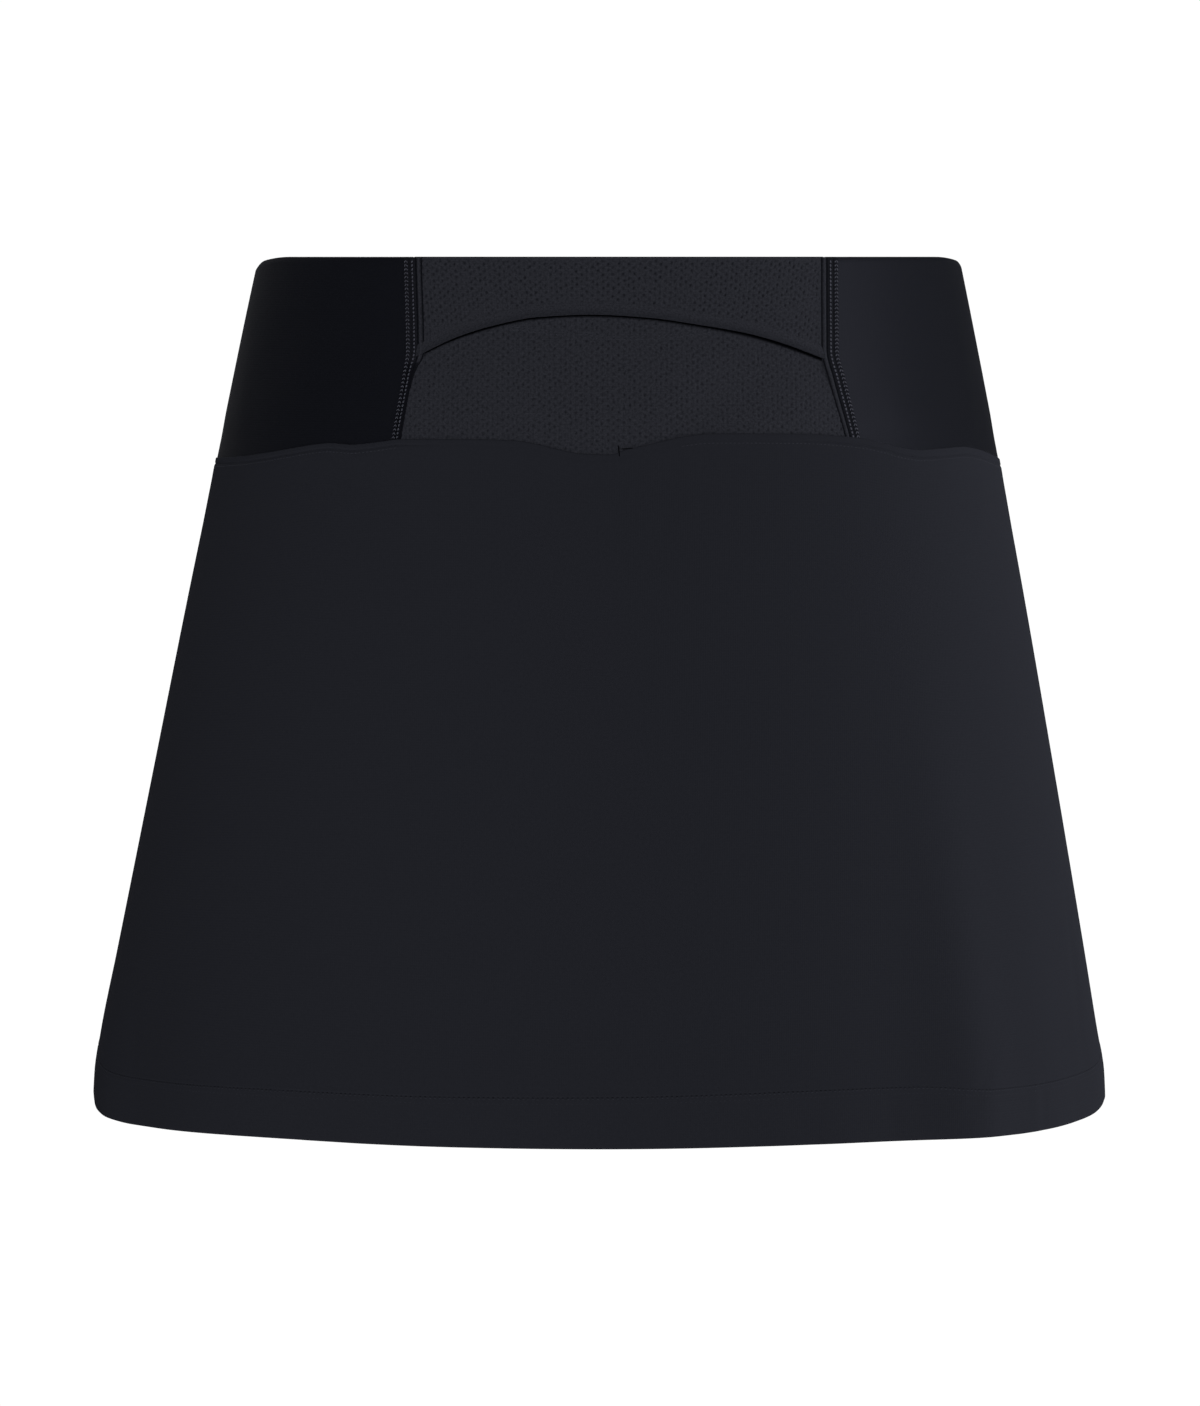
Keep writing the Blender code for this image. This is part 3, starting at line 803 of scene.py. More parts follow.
flap = add_cloth(
    "flap_mesh", ["back_flap"], birdseye, flap_form, MESH_WALL, MESH_RIM,
    columns=np.linspace(0, 1, 371), rows=np.linspace(0, 1, 59),
)
print("flap:", len(flap.data.polygons), "faces")

# %% Binding of the pocket's mouth
BINDING_PROUD = 0.34 * MM
BINDING_ROLL = 0.42 * MM
BINDING_UNDER = 3.0 * MM
BINDING_WALL = 0.45 * MM
BINDING_RIM = 0.12 * MM
BINDING_START = 0.04 * MM
BINDING_SHADE = 0.32


def binding_form(share, level):
    """Where the binding's grid goes: across, and down its face, round the mouth's edge and up inside."""
    across = across_at(share)
    face = np.clip(level, 0.0, 1.0)
    roll = np.clip(level - 1.0, 0.0, 1.0)
    under = np.clip(level - 2.0, 0.0, 1.0)
    swell = BINDING_START + BINDING_PROUD * ease(face, 0.0, 0.75)
    up = (BINDING_HEIGHT - BINDING_ROLL) * (1.0 - face) + BINDING_ROLL * (1.0 - np.sin(np.pi * roll))
    up = up + BINDING_UNDER * under
    inward = -swell + BINDING_ROLL * (1.0 - np.cos(np.pi * roll))
    below = mouth(across) - up
    points = place(mesh_angle(share, below), below, inward)
    length = BINDING_HEIGHT * face + 2.4 * BINDING_ROLL * roll + BINDING_UNDER * under
    # Painted shade: darker down the face towards the roll, near black round and under it.
    shade = BINDING_SHADE * ease(face, 0.35, 1.0) + (1.0 - BINDING_SHADE) * ease(level, 1.25, 1.6)
    return points, np.stack([across, length], axis=-1), shade


BINDING_ROWS = np.concatenate([np.linspace(0, 1, 9), np.linspace(1, 2, 9)[1:], np.linspace(2, 3, 4)[1:]])
binding = add_cloth(
    "mouth_binding", ["pocket_binding"], birdseye, binding_form, BINDING_WALL, BINDING_RIM,
    columns=np.linspace(0, 1, 131), rows=BINDING_ROWS,
)

# %% [markdown]
# ## Pocket
#
# The pocket's outer layer comes up behind the flap. Its top is turned 10 mm, and the doubled stretch shows
# below the mouth as a faint smile with a line of stitches. At the mouth the layer dips back before it meets
# the band's level, which leaves the narrow dark slot that the photograph shows, and the cloth in the slot is
# also painted near black, a painted shade. The inner layer lies flat behind it, and its sides reach a little
# under the band, where the seams catch them, so that no light comes through the mouth's ends.

# %% Pocket's outer layer
TOP_TURN = 10.0 * MM
SLOT_DEPTH = 2.2 * MM
SLOT_REST = 0.50 * MM
SLOT_OPENS = 0.95 * MM
MOUTH_STARTS = -0.0745
MOUTH_OPEN = -0.0600
SLOT_NARROW = 0.45
SLOT_WIDENS_BY = -0.052
SLOT_WIDEST = 0.060
POCKET_DENT = (0.034, 0.056)
DENT_DEPTH = 1.1 * MM
SETTLED_BY = 14.0 * MM
TURN_SWELL = 0.18 * MM
STITCH_DRAW = 0.15 * MM
STITCHED_ABOVE = 0.6 * MM
POCKET_PLAIN = 0.18


def smile(across):
    """The depth of the stitches that hold the outer layer's turned top."""
    return read(POCKET_TOP_HEM, "below", across) + TOP_TURN


def slot_width(across):
    """How far below the mouth's edge the outer layer comes out again: least at the left."""
    wider = ease(across, MOUTH_STARTS, SLOT_WIDENS_BY) + hump(across - SLOT_WIDEST, 0.024)
    return SLOT_OPENS * (SLOT_NARROW + (1.0 - SLOT_NARROW) * wider)


def pocket_dent(across, below):
    """How far the outer layer sinks in one soft slanting dent right of the middle."""
    aside, down = across - POCKET_DENT[0], below - POCKET_DENT[1]
    return DENT_DEPTH * hump(0.5 * aside + 0.85 * down, 0.010) * hump(0.85 * aside - 0.5 * down, 0.020)


def pocket_inward(across, below):
    """How far in the outer layer lies: behind the flap, out again below the mouth, then under the skirt."""
    from_mouth = below - mouth(across)
    gape = slot_width(across)
    leaves = SLOT_DEPTH + (SLOT_REST - SLOT_DEPTH) * ease(from_mouth, 0.0, gape)
    settles = leaves - SLOT_REST * ease(from_mouth, gape, SETTLED_BY)
    doubled = TURN_SWELL * (1.0 - ease(below, smile(across) - 0.2 * MM, smile(across) + 0.7 * MM))
    stitched = STITCH_DRAW * hump(below - smile(across) + STITCHED_ABOVE, 0.5 * MM)
    shown = ease(from_mouth, 0.0, gape)
    sinks = lap_sink(below) + pocket_dent(across, below)
    return settles - (doubled - stitched) * shown + sinks


def pocket_form(share, level):
    """Where the outer layer's grid goes: across, and a share of its height."""
    across = across_at(share)
    top = read(POCKET_TOP_HEM, "below", across)
    below = top + (BAND_DEPTH - top) * level
    plain = POCKET_PLAIN + 0.35 * hump(below - smile(across) + STITCHED_ABOVE, 1.4 * MM)
    points, on_cloth, pits = mesh_points(share, below, pocket_inward(across, below), plain)
    # Painted shade: the cloth in the slot under the mouth's edge is darkened near black, from the mouth's
    # left end on.
    hidden = 1.0 - ease(below - mouth(across), 0.35 * slot_width(across), 1.05 * slot_width(across))
    painted_slot_shade = hidden * ease(across, MOUTH_STARTS, MOUTH_OPEN)
    return points, on_cloth, np.maximum(pits, painted_slot_shade)


POCKET_ROWS = np.concatenate([np.linspace(0, 0.86, 114), np.linspace(0.86, 1, 5)[1:]])
pocket = add_cloth(
    "pocket_outer", ["pocket_panel"], birdseye, pocket_form, MESH_WALL, MESH_RIM,
    columns=np.linspace(0, 1, 391), rows=POCKET_ROWS,
)

# %% Pocket's inner layer
INNER_TOP = 2.0 * MM
INNER_SEWN = 1.14 * MM
INNER_INWARD = 3.06 * MM
INNER_CAUGHT = 0.02


def inner_form(share, below):
    """Where the inner layer's grid goes: across, and a depth below the waist. Its top is sewn to the flap."""
    inward = INNER_SEWN + (INNER_INWARD - INNER_SEWN) * ease(below, 3.0 * MM, 12.0 * MM)
    return mesh_points(share, below, inward, 1.0 - ease(below, 3.0 * MM, 5.0 * MM))


inner = add_cloth(
    "pocket_inner", ["pocket_back"], birdseye, inner_form, MESH_WALL, MESH_RIM,
    columns=np.linspace(-INNER_CAUGHT, 1 + INNER_CAUGHT, 221), rows=np.linspace(INNER_TOP, BAND_DEPTH, 75),
)
print("pocket:", len(pocket.data.polygons), "and", len(inner.data.polygons), "faces")

# %% [markdown]
# ## Skirt
#
# Each skirt panel is one sheet that is turned under at its top edge and turned up inside at the hem. The
# grid's rows follow that path: up inside the lap, over the fold, down the outside, round the hem's fold and
# up inside again. The needles that sewed each turn left a fine groove below the top edge and another above
# the hem. A row is written as a share of the way from top to hem, a shift in metres, and how far it lies
# inside.

# %% Rows of the skirt's sheet
SKIRT_WALL = 0.20 * MM
SKIRT_RIM = 0.12 * MM
TOP_FOLD = 0.22 * MM
HEM_FOLD = 0.30 * MM
LAP_TURN = 7.0 * MM
HEM_TURN = 23.0 * MM
TOP_NEEDLE = table(
    "angle down",
    *[(-180, 0.0024), (-70, 0.0023), (-30, 0.0022), (10, 0.0024), (38, 0.0027), (50, 0.0030)],
    *[(76, 0.0029), (90, 0.0027), (180, 0.0024)],
)
HEM_NEEDLE = table(
    "angle up",
    *[(-180, 0.0186), (-60, 0.0182), (-30, 0.0188), (0, 0.0197), (28, 0.0206), (36, 0.0205)],
    *[(48, 0.0182), (90, 0.0180), (180, 0.0186)],
)
SECOND_NEEDLE = 2.4 * MM

skirt_rows = [(0.0, LAP_TURN * k + TOP_FOLD * (1 - k), 2.0 * TOP_FOLD) for k in (1.0, 0.5)]
for turn in np.linspace(0, np.pi, 7):
    skirt_rows.append((0.0, TOP_FOLD * (1.0 - math.sin(turn)), TOP_FOLD * (1.0 + math.cos(turn))))
skirt_rows += [(0.0, shift, 0.0) for shift in np.arange(0.8, 4.4, 0.25) * MM]
skirt_rows += [(0.0, 5.4 * MM, 0.0)]
skirt_rows += [(k, 7.0 * MM * (1 - k) - 24.0 * MM * k, 0.0) for k in np.linspace(0, 1, 58)]
skirt_rows += [(1.0, -shift, 0.0) for shift in np.arange(22.5, 15.6, -0.28) * MM]
skirt_rows += [(1.0, -shift * MM, 0.0) for shift in (12.5, 10.0, 7.5, 5.0, 3.0, 1.6)]
for turn in np.linspace(0, np.pi, 7):
    skirt_rows.append((1.0, -HEM_FOLD * (1.0 - math.sin(turn)), HEM_FOLD * (1.0 - math.cos(turn))))
skirt_rows += [(1.0, -HEM_TURN * k, 2.0 * HEM_FOLD) for k in (0.2, 0.4, 0.6, 0.8, 0.92, 1.0)]
SKIRT_ROWS = np.array(skirt_rows)
MEAN_HEIGHT = 0.264
row_depths = SKIRT_ROWS[:, 0] * MEAN_HEIGHT + SKIRT_ROWS[:, 1]
row_steps = np.hypot(np.diff(row_depths), np.diff(SKIRT_ROWS[:, 2]))
ALONG_ROWS = np.concatenate([[0.0], np.cumsum(row_steps)])
print("skirt rows:", len(SKIRT_ROWS), "cut length", round(float(ALONG_ROWS[-1]), 3), "m")

# %% Face of the skirt
LAP_PROUD = 0.20 * MM
LAP_DOUBLED = 0.10 * MM
TOP_GROOVE_WIDTH = 0.36 * MM
HEM_GROOVE = 0.20 * MM
HEM_GROOVE_WIDTH = 0.34 * MM
HEM_DOUBLED = 0.10 * MM
SIDE_SEAM_WIDTH = 1.6 * MM
SIDE_SEAM_GAP = 0.04 * MM
SIDE_SEAM_DEPTH = 0.45 * MM


def skirt_out(angle, below):
    """How far the skirt's face stands out: lap, needle grooves, doubled hem, creases and side seams."""
    down = below - edge(SKIRT_TOP, angle)
    up = edge(HEM_EDGE, angle) - below
    lap = LAP_PROUD * (1.0 - ease(down, 6.0 * MM, 30.0 * MM))
    lap += LAP_DOUBLED * (1.0 - ease(down, LAP_TURN - 1.5 * MM, LAP_TURN + 1.0 * MM))
    above_hem = up - edge(HEM_NEEDLE, angle, "up")
    tight = 0.05 + 0.25 * ease(np.abs(away_from(angle, 0.0)), 24.0, 36.0)
    grooves = tight * MM * hump(down - edge(TOP_NEEDLE, angle, "down"), TOP_GROOVE_WIDTH)
    grooves += HEM_GROOVE * hump(above_hem, HEM_GROOVE_WIDTH)
    doubled = HEM_DOUBLED * (1.0 - ease(above_hem, 0.4 * MM, 2.4 * MM))
    from_side = np.abs(np.abs(away_from(angle, 0.0)) - 90.0) * METRES_A_DEGREE
    seams = SIDE_SEAM_DEPTH * hump(from_side, SIDE_SEAM_WIDTH) * (1.0 - 0.5 * hump(up, 6.0 * MM))
    return lap - grooves + doubled - seams + creases(CREASES, angle, below) + ripples(angle, below)


def skirt_form(first, last):
    """The form of the panel between two side seams."""

    def form(share, row):
        k = row.astype(int)
        part, shift, inward = SKIRT_ROWS[k].T
        middle = first + (last - first) * share
        top, hem = edge(SKIRT_TOP, middle), edge(HEM_EDGE, middle)
        below = top + (hem - top) * part + shift
        angle = between(first, last, SIDE_SEAM_GAP, share, below)
        points = place(angle, below, inward - skirt_out(angle, below))
        on_cloth = np.stack([np.radians(angle) * mean_radius(below), ALONG_ROWS[k]], axis=-1)
        return points, on_cloth, np.zeros_like(angle)

    return form


# %% Skirt panels
SEAM_COLUMNS = np.array([0.0, 0.0012, 0.0025, 0.0040, 0.0058, 0.0080])
skirt_columns = np.concatenate([SEAM_COLUMNS, np.linspace(0.0115, 0.9885, 228), 1.0 - SEAM_COLUMNS[::-1]])
skirt_pieces = [
    add_cloth(
        name, [node], skirt_knit, skirt_form(first, first + 180.0), SKIRT_WALL, SKIRT_RIM,
        columns=skirt_columns, rows=np.arange(len(SKIRT_ROWS), dtype=float),
    )
    for name, node, first in (
        ("skirt_back_panel", "skirt_back", -90.0),
        ("skirt_front_panel", "skirt_front", 90.0),
    )
]
print("skirt:", [len(p.data.polygons) for p in skirt_pieces], "faces")

# %% [markdown]
# ## Inner shorts
#
# The shorts show only from below. Each leg is one cut piece: a half tube round the hip that closes into a
# full tube round the thigh below the rise. It is made of two grids whose shared points are merged. The leg's
# hem is turned up inside, as the skirt's is.

# %% Shorts' form
LEG_HEM_DEPTH = 0.316
CROTCH_DEPTH = 0.232
RISE_START = 0.150
LEG_HALF_WIDTH = 0.078
LEG_HALF_DEPTH = 0.088
LEG_CENTRE = 0.087
LEG_CENTRE_BACK = 0.004
LEG_TAPER = 1.3
SHORTS_WALL = 0.8 * MM
SHORTS_RIM = 0.25 * MM
LEG_TURN = 18.0 * MM


def shorts_body(side, turn, below):
    """Points of the shorts' fitted body. turn is 0 at the side seam and a quarter turn at the centre back."""
    inward = read(SHORTS_EASE, "ease", below)
    half_width = read(SECTIONS, "half_width", below) - inward
    half_depth = read(SECTIONS, "half_depth", below) - inward
    lean = read(SECTIONS, "lean", below) * np.cos(turn)
    across = side * (SEAM_GAP / 2 + (half_width - SEAM_GAP / 2) * np.cos(turn)) + lean
    behind = read(SECTIONS, "back", below) + half_depth * np.sin(turn)
    return np.stack([across, behind, -below], axis=-1)


def rise_point(side, turn):
    """Points of the seam that runs from the centre back under the crotch to the centre front."""
    back, front = (shorts_body(side, quarter * np.pi / 2, RISE_START)[1] for quarter in (1, -1))
    behind = (back + front) / 2 + (back - front) / 2 * np.sin(turn)
    below = RISE_START + (CROTCH_DEPTH - RISE_START) * np.abs(np.cos(turn))
    return np.stack([np.full_like(turn, side * SEAM_GAP / 2), behind, -below], axis=-1)


def leg_points(side, turn, share, inward):
    """Points of the leg, a share of the way from the rise down to its hem, so far inside its face."""
    outer = (np.cos(turn) >= -1e-9)[..., None]
    top = np.where(outer, shorts_body(side, turn, np.full_like(turn, RISE_START)), rise_point(side, turn))
    across = side * (LEG_CENTRE + (LEG_HALF_WIDTH - inward) * np.cos(turn))
    behind = LEG_CENTRE_BACK + (LEG_HALF_DEPTH - inward) * np.sin(turn)
    hem = np.stack([across, behind, np.full_like(turn, -LEG_HEM_DEPTH)], axis=-1)
    level = np.stack([share**LEG_TAPER, share**LEG_TAPER, share], axis=-1)
    return top + (hem - top) * level


# %% Make one leg of the shorts
LEG_HEIGHT = LEG_HEM_DEPTH - RISE_START
LEG_FOLD = 0.9 * MM
leg_rows = [(share, 0.0) for share in np.linspace(0, 0.86, 26)]
leg_rows += [(share, 0.0) for share in np.linspace(0.865, 0.995, 22)]
for turn in np.linspace(0, np.pi, 6)[1:]:
    leg_rows.append((0.995 + 0.005 * math.sin(turn), LEG_FOLD * (1.0 - math.cos(turn))))
leg_rows += [(1.0 - LEG_TURN / LEG_HEIGHT * k, 2.0 * LEG_FOLD) for k in (0.25, 0.5, 0.75, 1.0)]
LEG_ROWS = np.array(leg_rows)
LEG_NEEDLES = (14.0 * MM, 16.4 * MM)
LEG_GROOVE = 0.25 * MM


def leg_form(side):
    """The form of the part of a leg below the rise."""

    def form(turn, row):
        share, inward = LEG_ROWS[row.astype(int)].T
        up = (1.0 - share) * LEG_HEIGHT
        dip = sum(LEG_GROOVE * hump(up - needle, 0.6 * MM) for needle in LEG_NEEDLES) * (inward < LEG_FOLD)
        points = leg_points(side, turn, share, inward + dip)
        on_cloth = np.stack([turn * LEG_HALF_WIDTH, row * 3.0 * MM], axis=-1)
        return points, on_cloth, np.zeros_like(turn)

    return form


def hip_form(side):
    """The form of the part of a leg's piece above the rise."""

    def form(turn, below):
        on_cloth = np.stack([turn * LEG_HALF_WIDTH, below - RISE_START], axis=-1)
        return shorts_body(side, turn, below), on_cloth, np.zeros_like(turn)

    return form


def make_shorts(name, node, side):
    """One leg's piece of the shorts: hip and leg grids, merged along their shared row and the inseam."""
    turns = np.linspace(-np.pi / 2, np.pi * 3 / 2, 145)
    leg = grid_sheet(name, turns, np.arange(len(LEG_ROWS), dtype=float), leg_form(side))
    hip_rows = np.linspace(BAND_DEPTH + SEAM_GAP, RISE_START, 22)
    hip = grid_sheet(name + "_hip", turns[:73], hip_rows, hip_form(side))
    joined = bmesh.new()
    joined.from_mesh(leg)
    joined.from_mesh(hip)
    bpy.data.meshes.remove(hip)
    bmesh.ops.remove_doubles(joined, verts=joined.verts, dist=0.02 * MM)
    if side < 0:
        bmesh.ops.reverse_faces(joined, faces=joined.faces)
    joined.to_mesh(leg)
    joined.free()
    leg.shade_smooth()
    piece = add_piece(name, leg, shorts_knit, [node])
    thicken(piece, SHORTS_WALL, SHORTS_RIM)
    return piece


shorts_pieces = [
    make_shorts("shorts_leg_left", "shorts_left", 1),
    make_shorts("shorts_leg_right", "shorts_right", -1),
]
print("shorts:", [len(p.data.polygons) for p in shorts_pieces], "faces")

# %% [markdown]
# ## Stitches
#
# A stitch is a short length of thread that dives into the cloth at both ends. Thousands of them are needed,
# so each is only a ball of a few dozen faces, pulled long. They could be instances, but a stitch here has to
# follow a curved surface and stay in the exported mesh. So an Array modifier makes a row of equal balls in
# one mesh, and each ball's points are then moved to its stitch's place, as the points of a sheet are. A table
# holds the size of each kind of stitch.

# %% Stitches along a route
BALL_SEGMENTS = 6
BALL_RINGS = 5
BALL_SPACING = 2.0
STITCHES = {
    # kind: pitch, length, width, height and lift in mm, slant in degrees, start as a share of the pitch
    "top": (1.7, 1.1, 0.34, 0.28, -0.06, 0.0, 0.5),
    "top hole": (1.7, 0.95, 0.34, 0.12, 0.0, 0.0, 0.0),
    "hem": (1.9, 1.2, 0.30, 0.26, -0.08, 0.0, 0.5),
    "hem second": (1.9, 1.2, 0.30, 0.24, -0.09, 0.0, 0.5),
    "hem hole": (1.9, 1.0, 0.34, 0.12, 0.0, 0.0, 0.0),
    "cover": (1.55, 1.10, 0.72, 0.36, 0.02, 12.0, 0.5),
    "chevron down": (1.55, 1.15, 0.46, 0.36, 0.02, 38.0, 0.5),
    "chevron up": (1.55, 1.15, 0.46, 0.36, 0.02, -38.0, 0.5),
    "pocket zig": (2.2, 1.4, 0.40, 0.34, 0.06, 28.0, 0.5),
    "pocket zag": (2.2, 1.4, 0.40, 0.34, 0.06, -28.0, 0.5),
    "tack": (0.6, 0.9, 0.50, 0.3, 0.05, 0.0, 0.5),
    "tack bar": (0.6, 0.9, 0.30, 0.3, 0.05, 0.0, 0.5),
    "leg hem": (2.8, 2.1, 0.45, 0.36, 0.05, 0.0, 0.5),
}


def on_face(angle, below, inward):
    """Points on the form for a row of stitches, and the same points moved a millimetre out."""
    return place(angle, below, inward), place(angle, below, inward - MM)


def sew(points, outside, kind, mirrored=1):
    """The middles and axes of one kind of stitches along points. outside are the points moved out."""
    pitch, length, width, height, lift = (size * MM for size in STITCHES[kind][:5])
    slant, start = STITCHES[kind][5:]
    reached = np.concatenate([[0.0], np.cumsum(np.linalg.norm(np.diff(points, axis=0), axis=1))])
    stops = np.arange(pitch * start, reached[-1], pitch)
    k = np.clip(np.searchsorted(reached, stops) - 1, 0, len(points) - 2)
    part = ((stops - reached[k]) / (reached[k + 1] - reached[k]))[:, None]
    along = points[k + 1] - points[k]
    middle = points[k] + along * part
    along /= np.linalg.norm(along, axis=1, keepdims=True)
    out = outside[k] - points[k]
    out -= along * np.sum(out * along, axis=1, keepdims=True)
    out /= np.linalg.norm(out, axis=1, keepdims=True)
    turn = math.radians(mirrored * slant)
    along = along * math.cos(turn) + np.cross(out, along) * math.sin(turn)
    side = np.cross(out, along)
    return middle + out * lift, np.stack([side * width, out * height, along * length], axis=1)


def add_stitches(name, rows, material=None):
    """Makes one piece of all the stitches in rows."""
    middles = np.concatenate([row[0] for row in rows])
    axes = np.concatenate([row[1] for row in rows])
    ball_shape = bmesh.new()
    bmesh.ops.create_uvsphere(ball_shape, u_segments=BALL_SEGMENTS, v_segments=BALL_RINGS, radius=0.5)
    ball_mesh = bpy.data.meshes.new(name + "_ball")
    ball = np.array([v.co for v in ball_shape.verts])
    ball_shape.to_mesh(ball_mesh)
    ball_shape.free()
    holder = add_object(name + "_row", ball_mesh)
    array = holder.modifiers.new("row", "ARRAY")
    array.count = len(middles)
    array.use_relative_offset = False
    array.use_constant_offset = True
    array.constant_offset_displace = (BALL_SPACING, 0.0, 0.0)
    stitches = bpy.data.meshes.new_from_object(holder.evaluated_get(bpy.context.evaluated_depsgraph_get()))
    stitches.name = name
    bpy.data.objects.remove(holder)
    bpy.data.meshes.remove(ball_mesh)
    placed = middles[:, None, :] + np.einsum("bi,nij->nbj", ball, axes)
    stitches.vertices.foreach_set("co", placed.astype(np.float32).ravel())
    stitches.shade_smooth()
    stitches.update()
    return add_piece(name, stitches, material or thread)


# %% [markdown]
# The needle rows run all round below the skirt's top edge and above its hem. The thread matches the knit, so
# mostly the holes between the stitches show, as a row of dark dots in the groove. The holes are drawn as
# balls of thread painted near black, a painted shade. Over the pocket the cloth lies slack and closes over
# the holes, so the top row is left out there.

# %% Stitches of the skirt
ROUND = np.linspace(-180.0, 180.0, 721)
ROUND_BUT_POCKET = np.linspace(36.0, 326.0, 581)
ROUND_BUT_MIDDLE = np.linspace(9.0, 326.0, 635)


def skirt_row(angle, below, kind):
    """A row of stitches round the skirt at the given depths."""
    return sew(*on_face(angle, below, -skirt_out(angle, below)), kind)


def top_sewn(angle, lower=0.0):
    """The depth of the top edge's needle row."""
    return edge(SKIRT_TOP, angle) + edge(TOP_NEEDLE, angle, "down") + lower


def hem_sewn(lower=0.0):
    """The depth of the hem's needle row all round."""
    return edge(HEM_EDGE, ROUND) - edge(HEM_NEEDLE, ROUND, "up") + lower


top_rows = [skirt_row(ROUND_BUT_MIDDLE, top_sewn(ROUND_BUT_MIDDLE, 1.2 * MM), "top")]
hem_rows = [
    skirt_row(ROUND, hem_sewn(0.6 * MM), "hem"),
    skirt_row(ROUND, hem_sewn(SECOND_NEEDLE), "hem second"),
]
# The hole rows are balls of near-black thread, a painted shade of the needle holes.
hole_rows = [
    skirt_row(ROUND_BUT_POCKET, top_sewn(ROUND_BUT_POCKET), "top hole"),
    skirt_row(ROUND, hem_sewn(), "hem hole"),
]
top_stitches = add_stitches("skirt_top_stitches", top_rows, soft_thread)
hem_stitches = add_stitches("hem_stitches", hem_rows, soft_thread)
needle_holes_painted_shade = add_stitches("needle_holes_painted_shade", hole_rows, shade_painted_thread)
print("skirt stitches:", len(top_stitches.data.polygons), "and", len(hem_stitches.data.polygons), "faces")

# %% [markdown]
# ## Flatlock seams
#
# Where mesh and band meet, the edges are butted and covered by a flatlock seam, nearly 8 mm wide. It is three
# round ridges side by side: the mesh's turned edge, which stays as pale as the mesh, then two ridges under
# dark cover thread. The ridges are the relief of a narrow sheet that lies over the seam, drawn as half rounds
# with a sharp ditch between each two, and the cover thread is stitches on top. The sheet's pit attribute
# makes the cover's ground dark, and paints shade into the ditch on each side of the pale edge. The left
# seam's pale edge ends at the pocket's corner.

# %% Flatlock strips
RIDGES = table(
    "beside height half_width",
    (0.0000, 0.00044, 0.00070),
    (0.0026, 0.00036, 0.00120),
    (0.0053, 0.00030, 0.00120),
)
FLATLOCK_TO = 6.7 * MM
FLATLOCK_START = 0.0002
FLATLOCK_END = 0.0745
STRIP_WALL = 0.20 * MM
STRIP_RIM = 0.06 * MM
STRIP_HEIGHT = 0.16 * MM
STRIP_SUNK = 0.10 * MM
FLATTENS_FROM = 0.0690
FLATTENED_BY = 0.0722
PALE_EDGE_ENDS = 0.0395
SEAM_COURSE = {
    -1: table(
        "below over_mesh narrowed starts",
        (0.000, 0.0020, 1.00, -0.0016),
        (0.037, 0.0020, 1.00, -0.0016),
        (0.044, 0.0008, 0.72, -0.0006),
        (0.052, 0.0005, 0.62, -0.0001),
        (0.075, -0.0001, 0.56, -0.0009),
    ),
    1: table(
        "below over_mesh narrowed starts",
        (0.000, 0.0000, 1.00, -0.0016),
        (0.042, 0.0000, 1.00, -0.0016),
        (0.075, -0.0006, 0.82, -0.0015),
    ),
}


def seam_angle(side, below, beside):
    """The angle at a distance beside a mesh seam, positive towards the band."""
    narrowed = read(SEAM_COURSE[side], "narrowed", below)
    over_mesh = read(SEAM_COURSE[side], "over_mesh", below)
    return shifted(mesh_seam(side, below), below, side * (beside * narrowed - over_mesh))


def pale_edge(side, below):
    """1 where the mesh's turned edge shows, and 0 below its end on the left."""
    if side > 0:
        return np.ones_like(below)
    return 1.0 - ease(below, PALE_EDGE_ENDS, PALE_EDGE_ENDS + 2.0 * MM)


def ridge_out(side, beside, below):
    """The strip's height above the band."""
    rounds = [
        height * np.sqrt(np.maximum(1.0 - ((beside - middle) / half_width) ** 2, 0.0))
        for middle, height, half_width in zip(*RIDGES.values(), strict=True)
    ]
    rounds[0] = rounds[0] * pale_edge(side, below)
    starts = read(SEAM_COURSE[side], "starts", below)
    inside = ease(beside - starts, 0.0, 0.4 * MM) * (1.0 - ease(beside, FLATLOCK_TO - 0.5 * MM, FLATLOCK_TO))
    under_skirt = 1.0 - 0.75 * ease(below, FLATTENS_FROM, FLATTENED_BY)
    return (sum(rounds) + STRIP_HEIGHT * inside) * under_skirt - STRIP_SUNK


def strip_shade(side, beside, below):
    """How dark the strip is: pale along the mesh's edge, with painted shade in the ditch each side of it, and
    dark under the cover.
    """
    cover = 0.72 * ease(beside, 0.7 * MM, 1.1 * MM)
    # Painted shade in the two ditch lines beside the pale edge.
    ditch_shade = 1.10 * (hump(beside + 1.1 * MM, 0.42 * MM) + hump(beside - 1.2 * MM, 0.45 * MM))
    gone = 0.90 * (1.0 - pale_edge(side, below))
    return np.clip(np.maximum(np.maximum(cover, ditch_shade), gone), 0.0, 0.95)


def flatlock_form(side):
    """The form of the strip over one seam."""

    def form(share, below):
        starts = read(SEAM_COURSE[side], "starts", below)
        beside = starts + (FLATLOCK_TO - starts) * share
        angle = seam_angle(side, below, beside)
        points = place(angle, below, lap_sink(below) - ridge_out(side, beside, below))
        return points, np.stack([beside, below], axis=-1), strip_shade(side, beside, below)

    return form


for name, side in (("flatlock_left", -1), ("flatlock_right", 1)):
    add_cloth(
        name, (), birdseye, flatlock_form(side), STRIP_WALL, STRIP_RIM,
        columns=np.linspace(0, 1, 55)[::side], rows=np.linspace(FLATLOCK_START, FLATLOCK_END, 90),
    )

# %% [markdown]
# The inner cover ridge carries one row of thick stitches. The outer one is crossed by the looper's thread,
# which makes a row of small chevrons: two rows side by side that slant opposite ways.

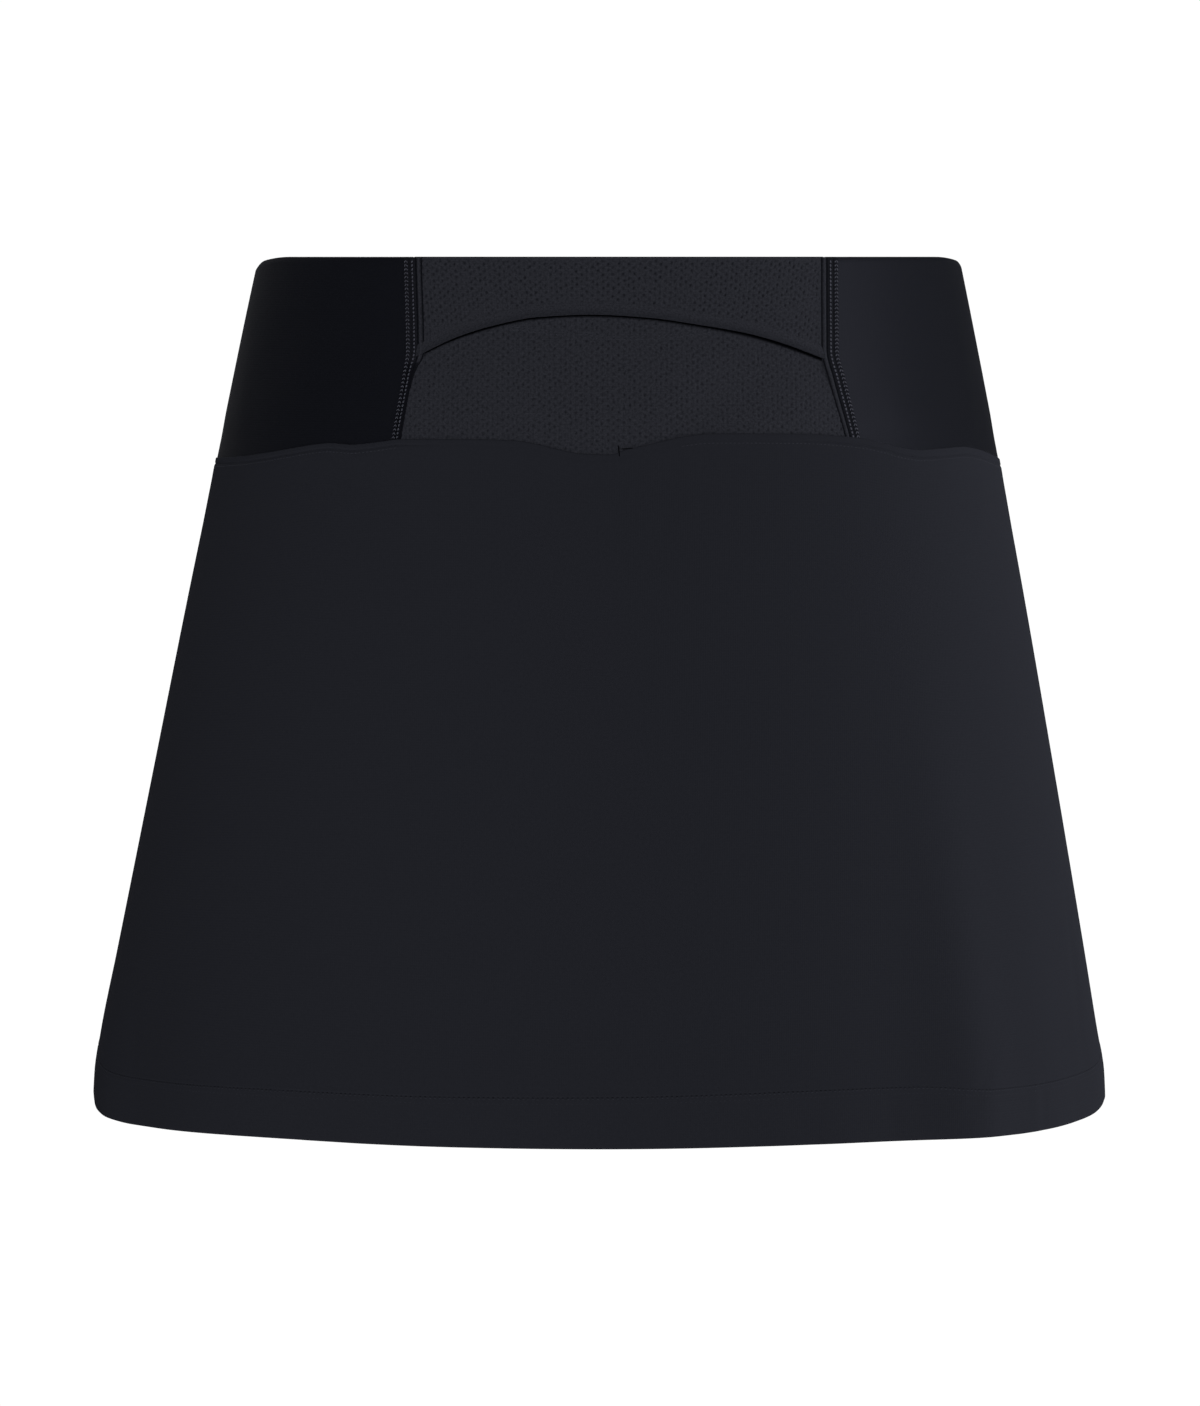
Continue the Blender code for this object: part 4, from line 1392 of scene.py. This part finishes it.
# %% Cover thread of the flatlock seams
INNER_RIDGE, OUTER_RIDGE = RIDGES["beside"][1:]
CHEVRON_OFFSET = 0.42 * MM
COVER_ROWS = {
    "cover": INNER_RIDGE,
    "chevron down": OUTER_RIDGE + CHEVRON_OFFSET,
    "chevron up": OUTER_RIDGE - CHEVRON_OFFSET,
}
seam_depths = np.linspace(0.0012, 0.0715, 200)
flatlock_rows = []
for side in (-1, 1):
    for kind, beside in COVER_ROWS.items():
        angle = seam_angle(side, seam_depths, beside)
        inward = lap_sink(seam_depths) - ridge_out(side, beside, seam_depths)
        flatlock_rows.append(sew(*on_face(angle, seam_depths, inward), kind, side))
flatlock_stitches = add_stitches("flatlock_stitches", flatlock_rows)

# %% [markdown]
# ## Small sewing
#
# The outer layer's turned top is held by a zigzag that shows as a faint dotted smile. At the centre back a
# short upright tack and a bar beside it close the skirt's lap. The shorts have a needle row round each leg's
# hem and a raised seam along the rise.

# %% Stitches of the pocket's turned top
smile_rows = []
smile_across = np.linspace(-0.050, 0.050, 260)
smile_below = smile(smile_across)
smile_angle = angle_across(smile_across, smile_below)
for kind, lower in (("pocket zig", -0.6 * MM), ("pocket zag", 0.5 * MM)):
    depth = smile_below + lower
    smile_rows.append(sew(*on_face(smile_angle, depth, pocket_inward(smile_across, depth)), kind))
smile_stitches = add_stitches("pocket_hem_stitches", smile_rows, soft_thread)

# %% Tack at the centre back
# The tack is drawn in the near-black thread, a painted shade of its dense stitching.
TACKS = {
    # kind: angle and depth at one end, angle and depth at the other
    "tack": (-0.1, 0.0725, 0.1, 0.0764),
    "tack bar": (0.4, 0.0737, 1.9, 0.0736),
}
tack_rows = []
for kind, (from_angle, from_below, to_angle, to_below) in TACKS.items():
    angle = np.linspace(from_angle, to_angle, 12)
    below = np.linspace(from_below, to_below, 12)
    inward = -skirt_out(angle, np.maximum(below, edge(SKIRT_TOP, angle) + TOP_FOLD))
    tack_rows.append(sew(*on_face(angle, below, inward), kind))
tack = add_stitches("centre_tack", tack_rows, shade_painted_thread)

# %% Sewing of the shorts
leg_rows_sewn = []
leg_turns = np.linspace(-np.pi / 2, np.pi * 3 / 2, 361)
for side in (1, -1):
    for needle in LEG_NEEDLES:
        share = np.full_like(leg_turns, 1.0 - needle / LEG_HEIGHT)
        points = leg_points(side, leg_turns, share, 0.2 * MM)
        outside = leg_points(side, leg_turns, share, -0.8 * MM)
        leg_rows_sewn.append(sew(points, outside, "leg hem"))
add_stitches("leg_hem_stitches", leg_rows_sewn)

RISE_SEAM_RADIUS = 0.9 * MM


def rise_form(round_seam, along):
    """The form of the raised seam: a thin tube along the rise, from back to front under the crotch."""
    turn = np.pi / 2 + np.pi * along
    middle = rise_point(1.0, turn)
    ahead = rise_point(1.0, turn + 0.01)
    way = ahead - middle
    way /= np.linalg.norm(way, axis=-1, keepdims=True)
    upright = np.stack([0.0 * turn, -way[..., 2], way[..., 1]], axis=-1)
    out = RISE_SEAM_RADIUS * (np.sin(round_seam)[..., None] * upright)
    sideways = RISE_SEAM_RADIUS * np.stack([np.cos(round_seam), 0.0 * turn, 0.0 * turn], axis=-1)
    points = middle + out + sideways
    points[..., 0] -= SEAM_GAP / 2
    return points, np.stack([round_seam * MM, along * 0.3], axis=-1), np.zeros_like(turn)


rise_mesh = grid_sheet("rise_seam", np.linspace(0, 2 * np.pi, 13), np.linspace(0.0, 1.0, 91), rise_form)
rise_shape = bmesh.new()
rise_shape.from_mesh(rise_mesh)
bmesh.ops.remove_doubles(rise_shape, verts=rise_shape.verts, dist=0.01 * MM)
bmesh.ops.holes_fill(rise_shape, edges=[e for e in rise_shape.edges if e.is_boundary])
bmesh.ops.recalc_face_normals(rise_shape, faces=rise_shape.faces)
rise_shape.to_mesh(rise_mesh)
rise_shape.free()
add_piece("rise_seam", rise_mesh, shorts_knit)
print("sewing:", len(flatlock_stitches.data.polygons), len(smile_stitches.data.polygons), "faces")
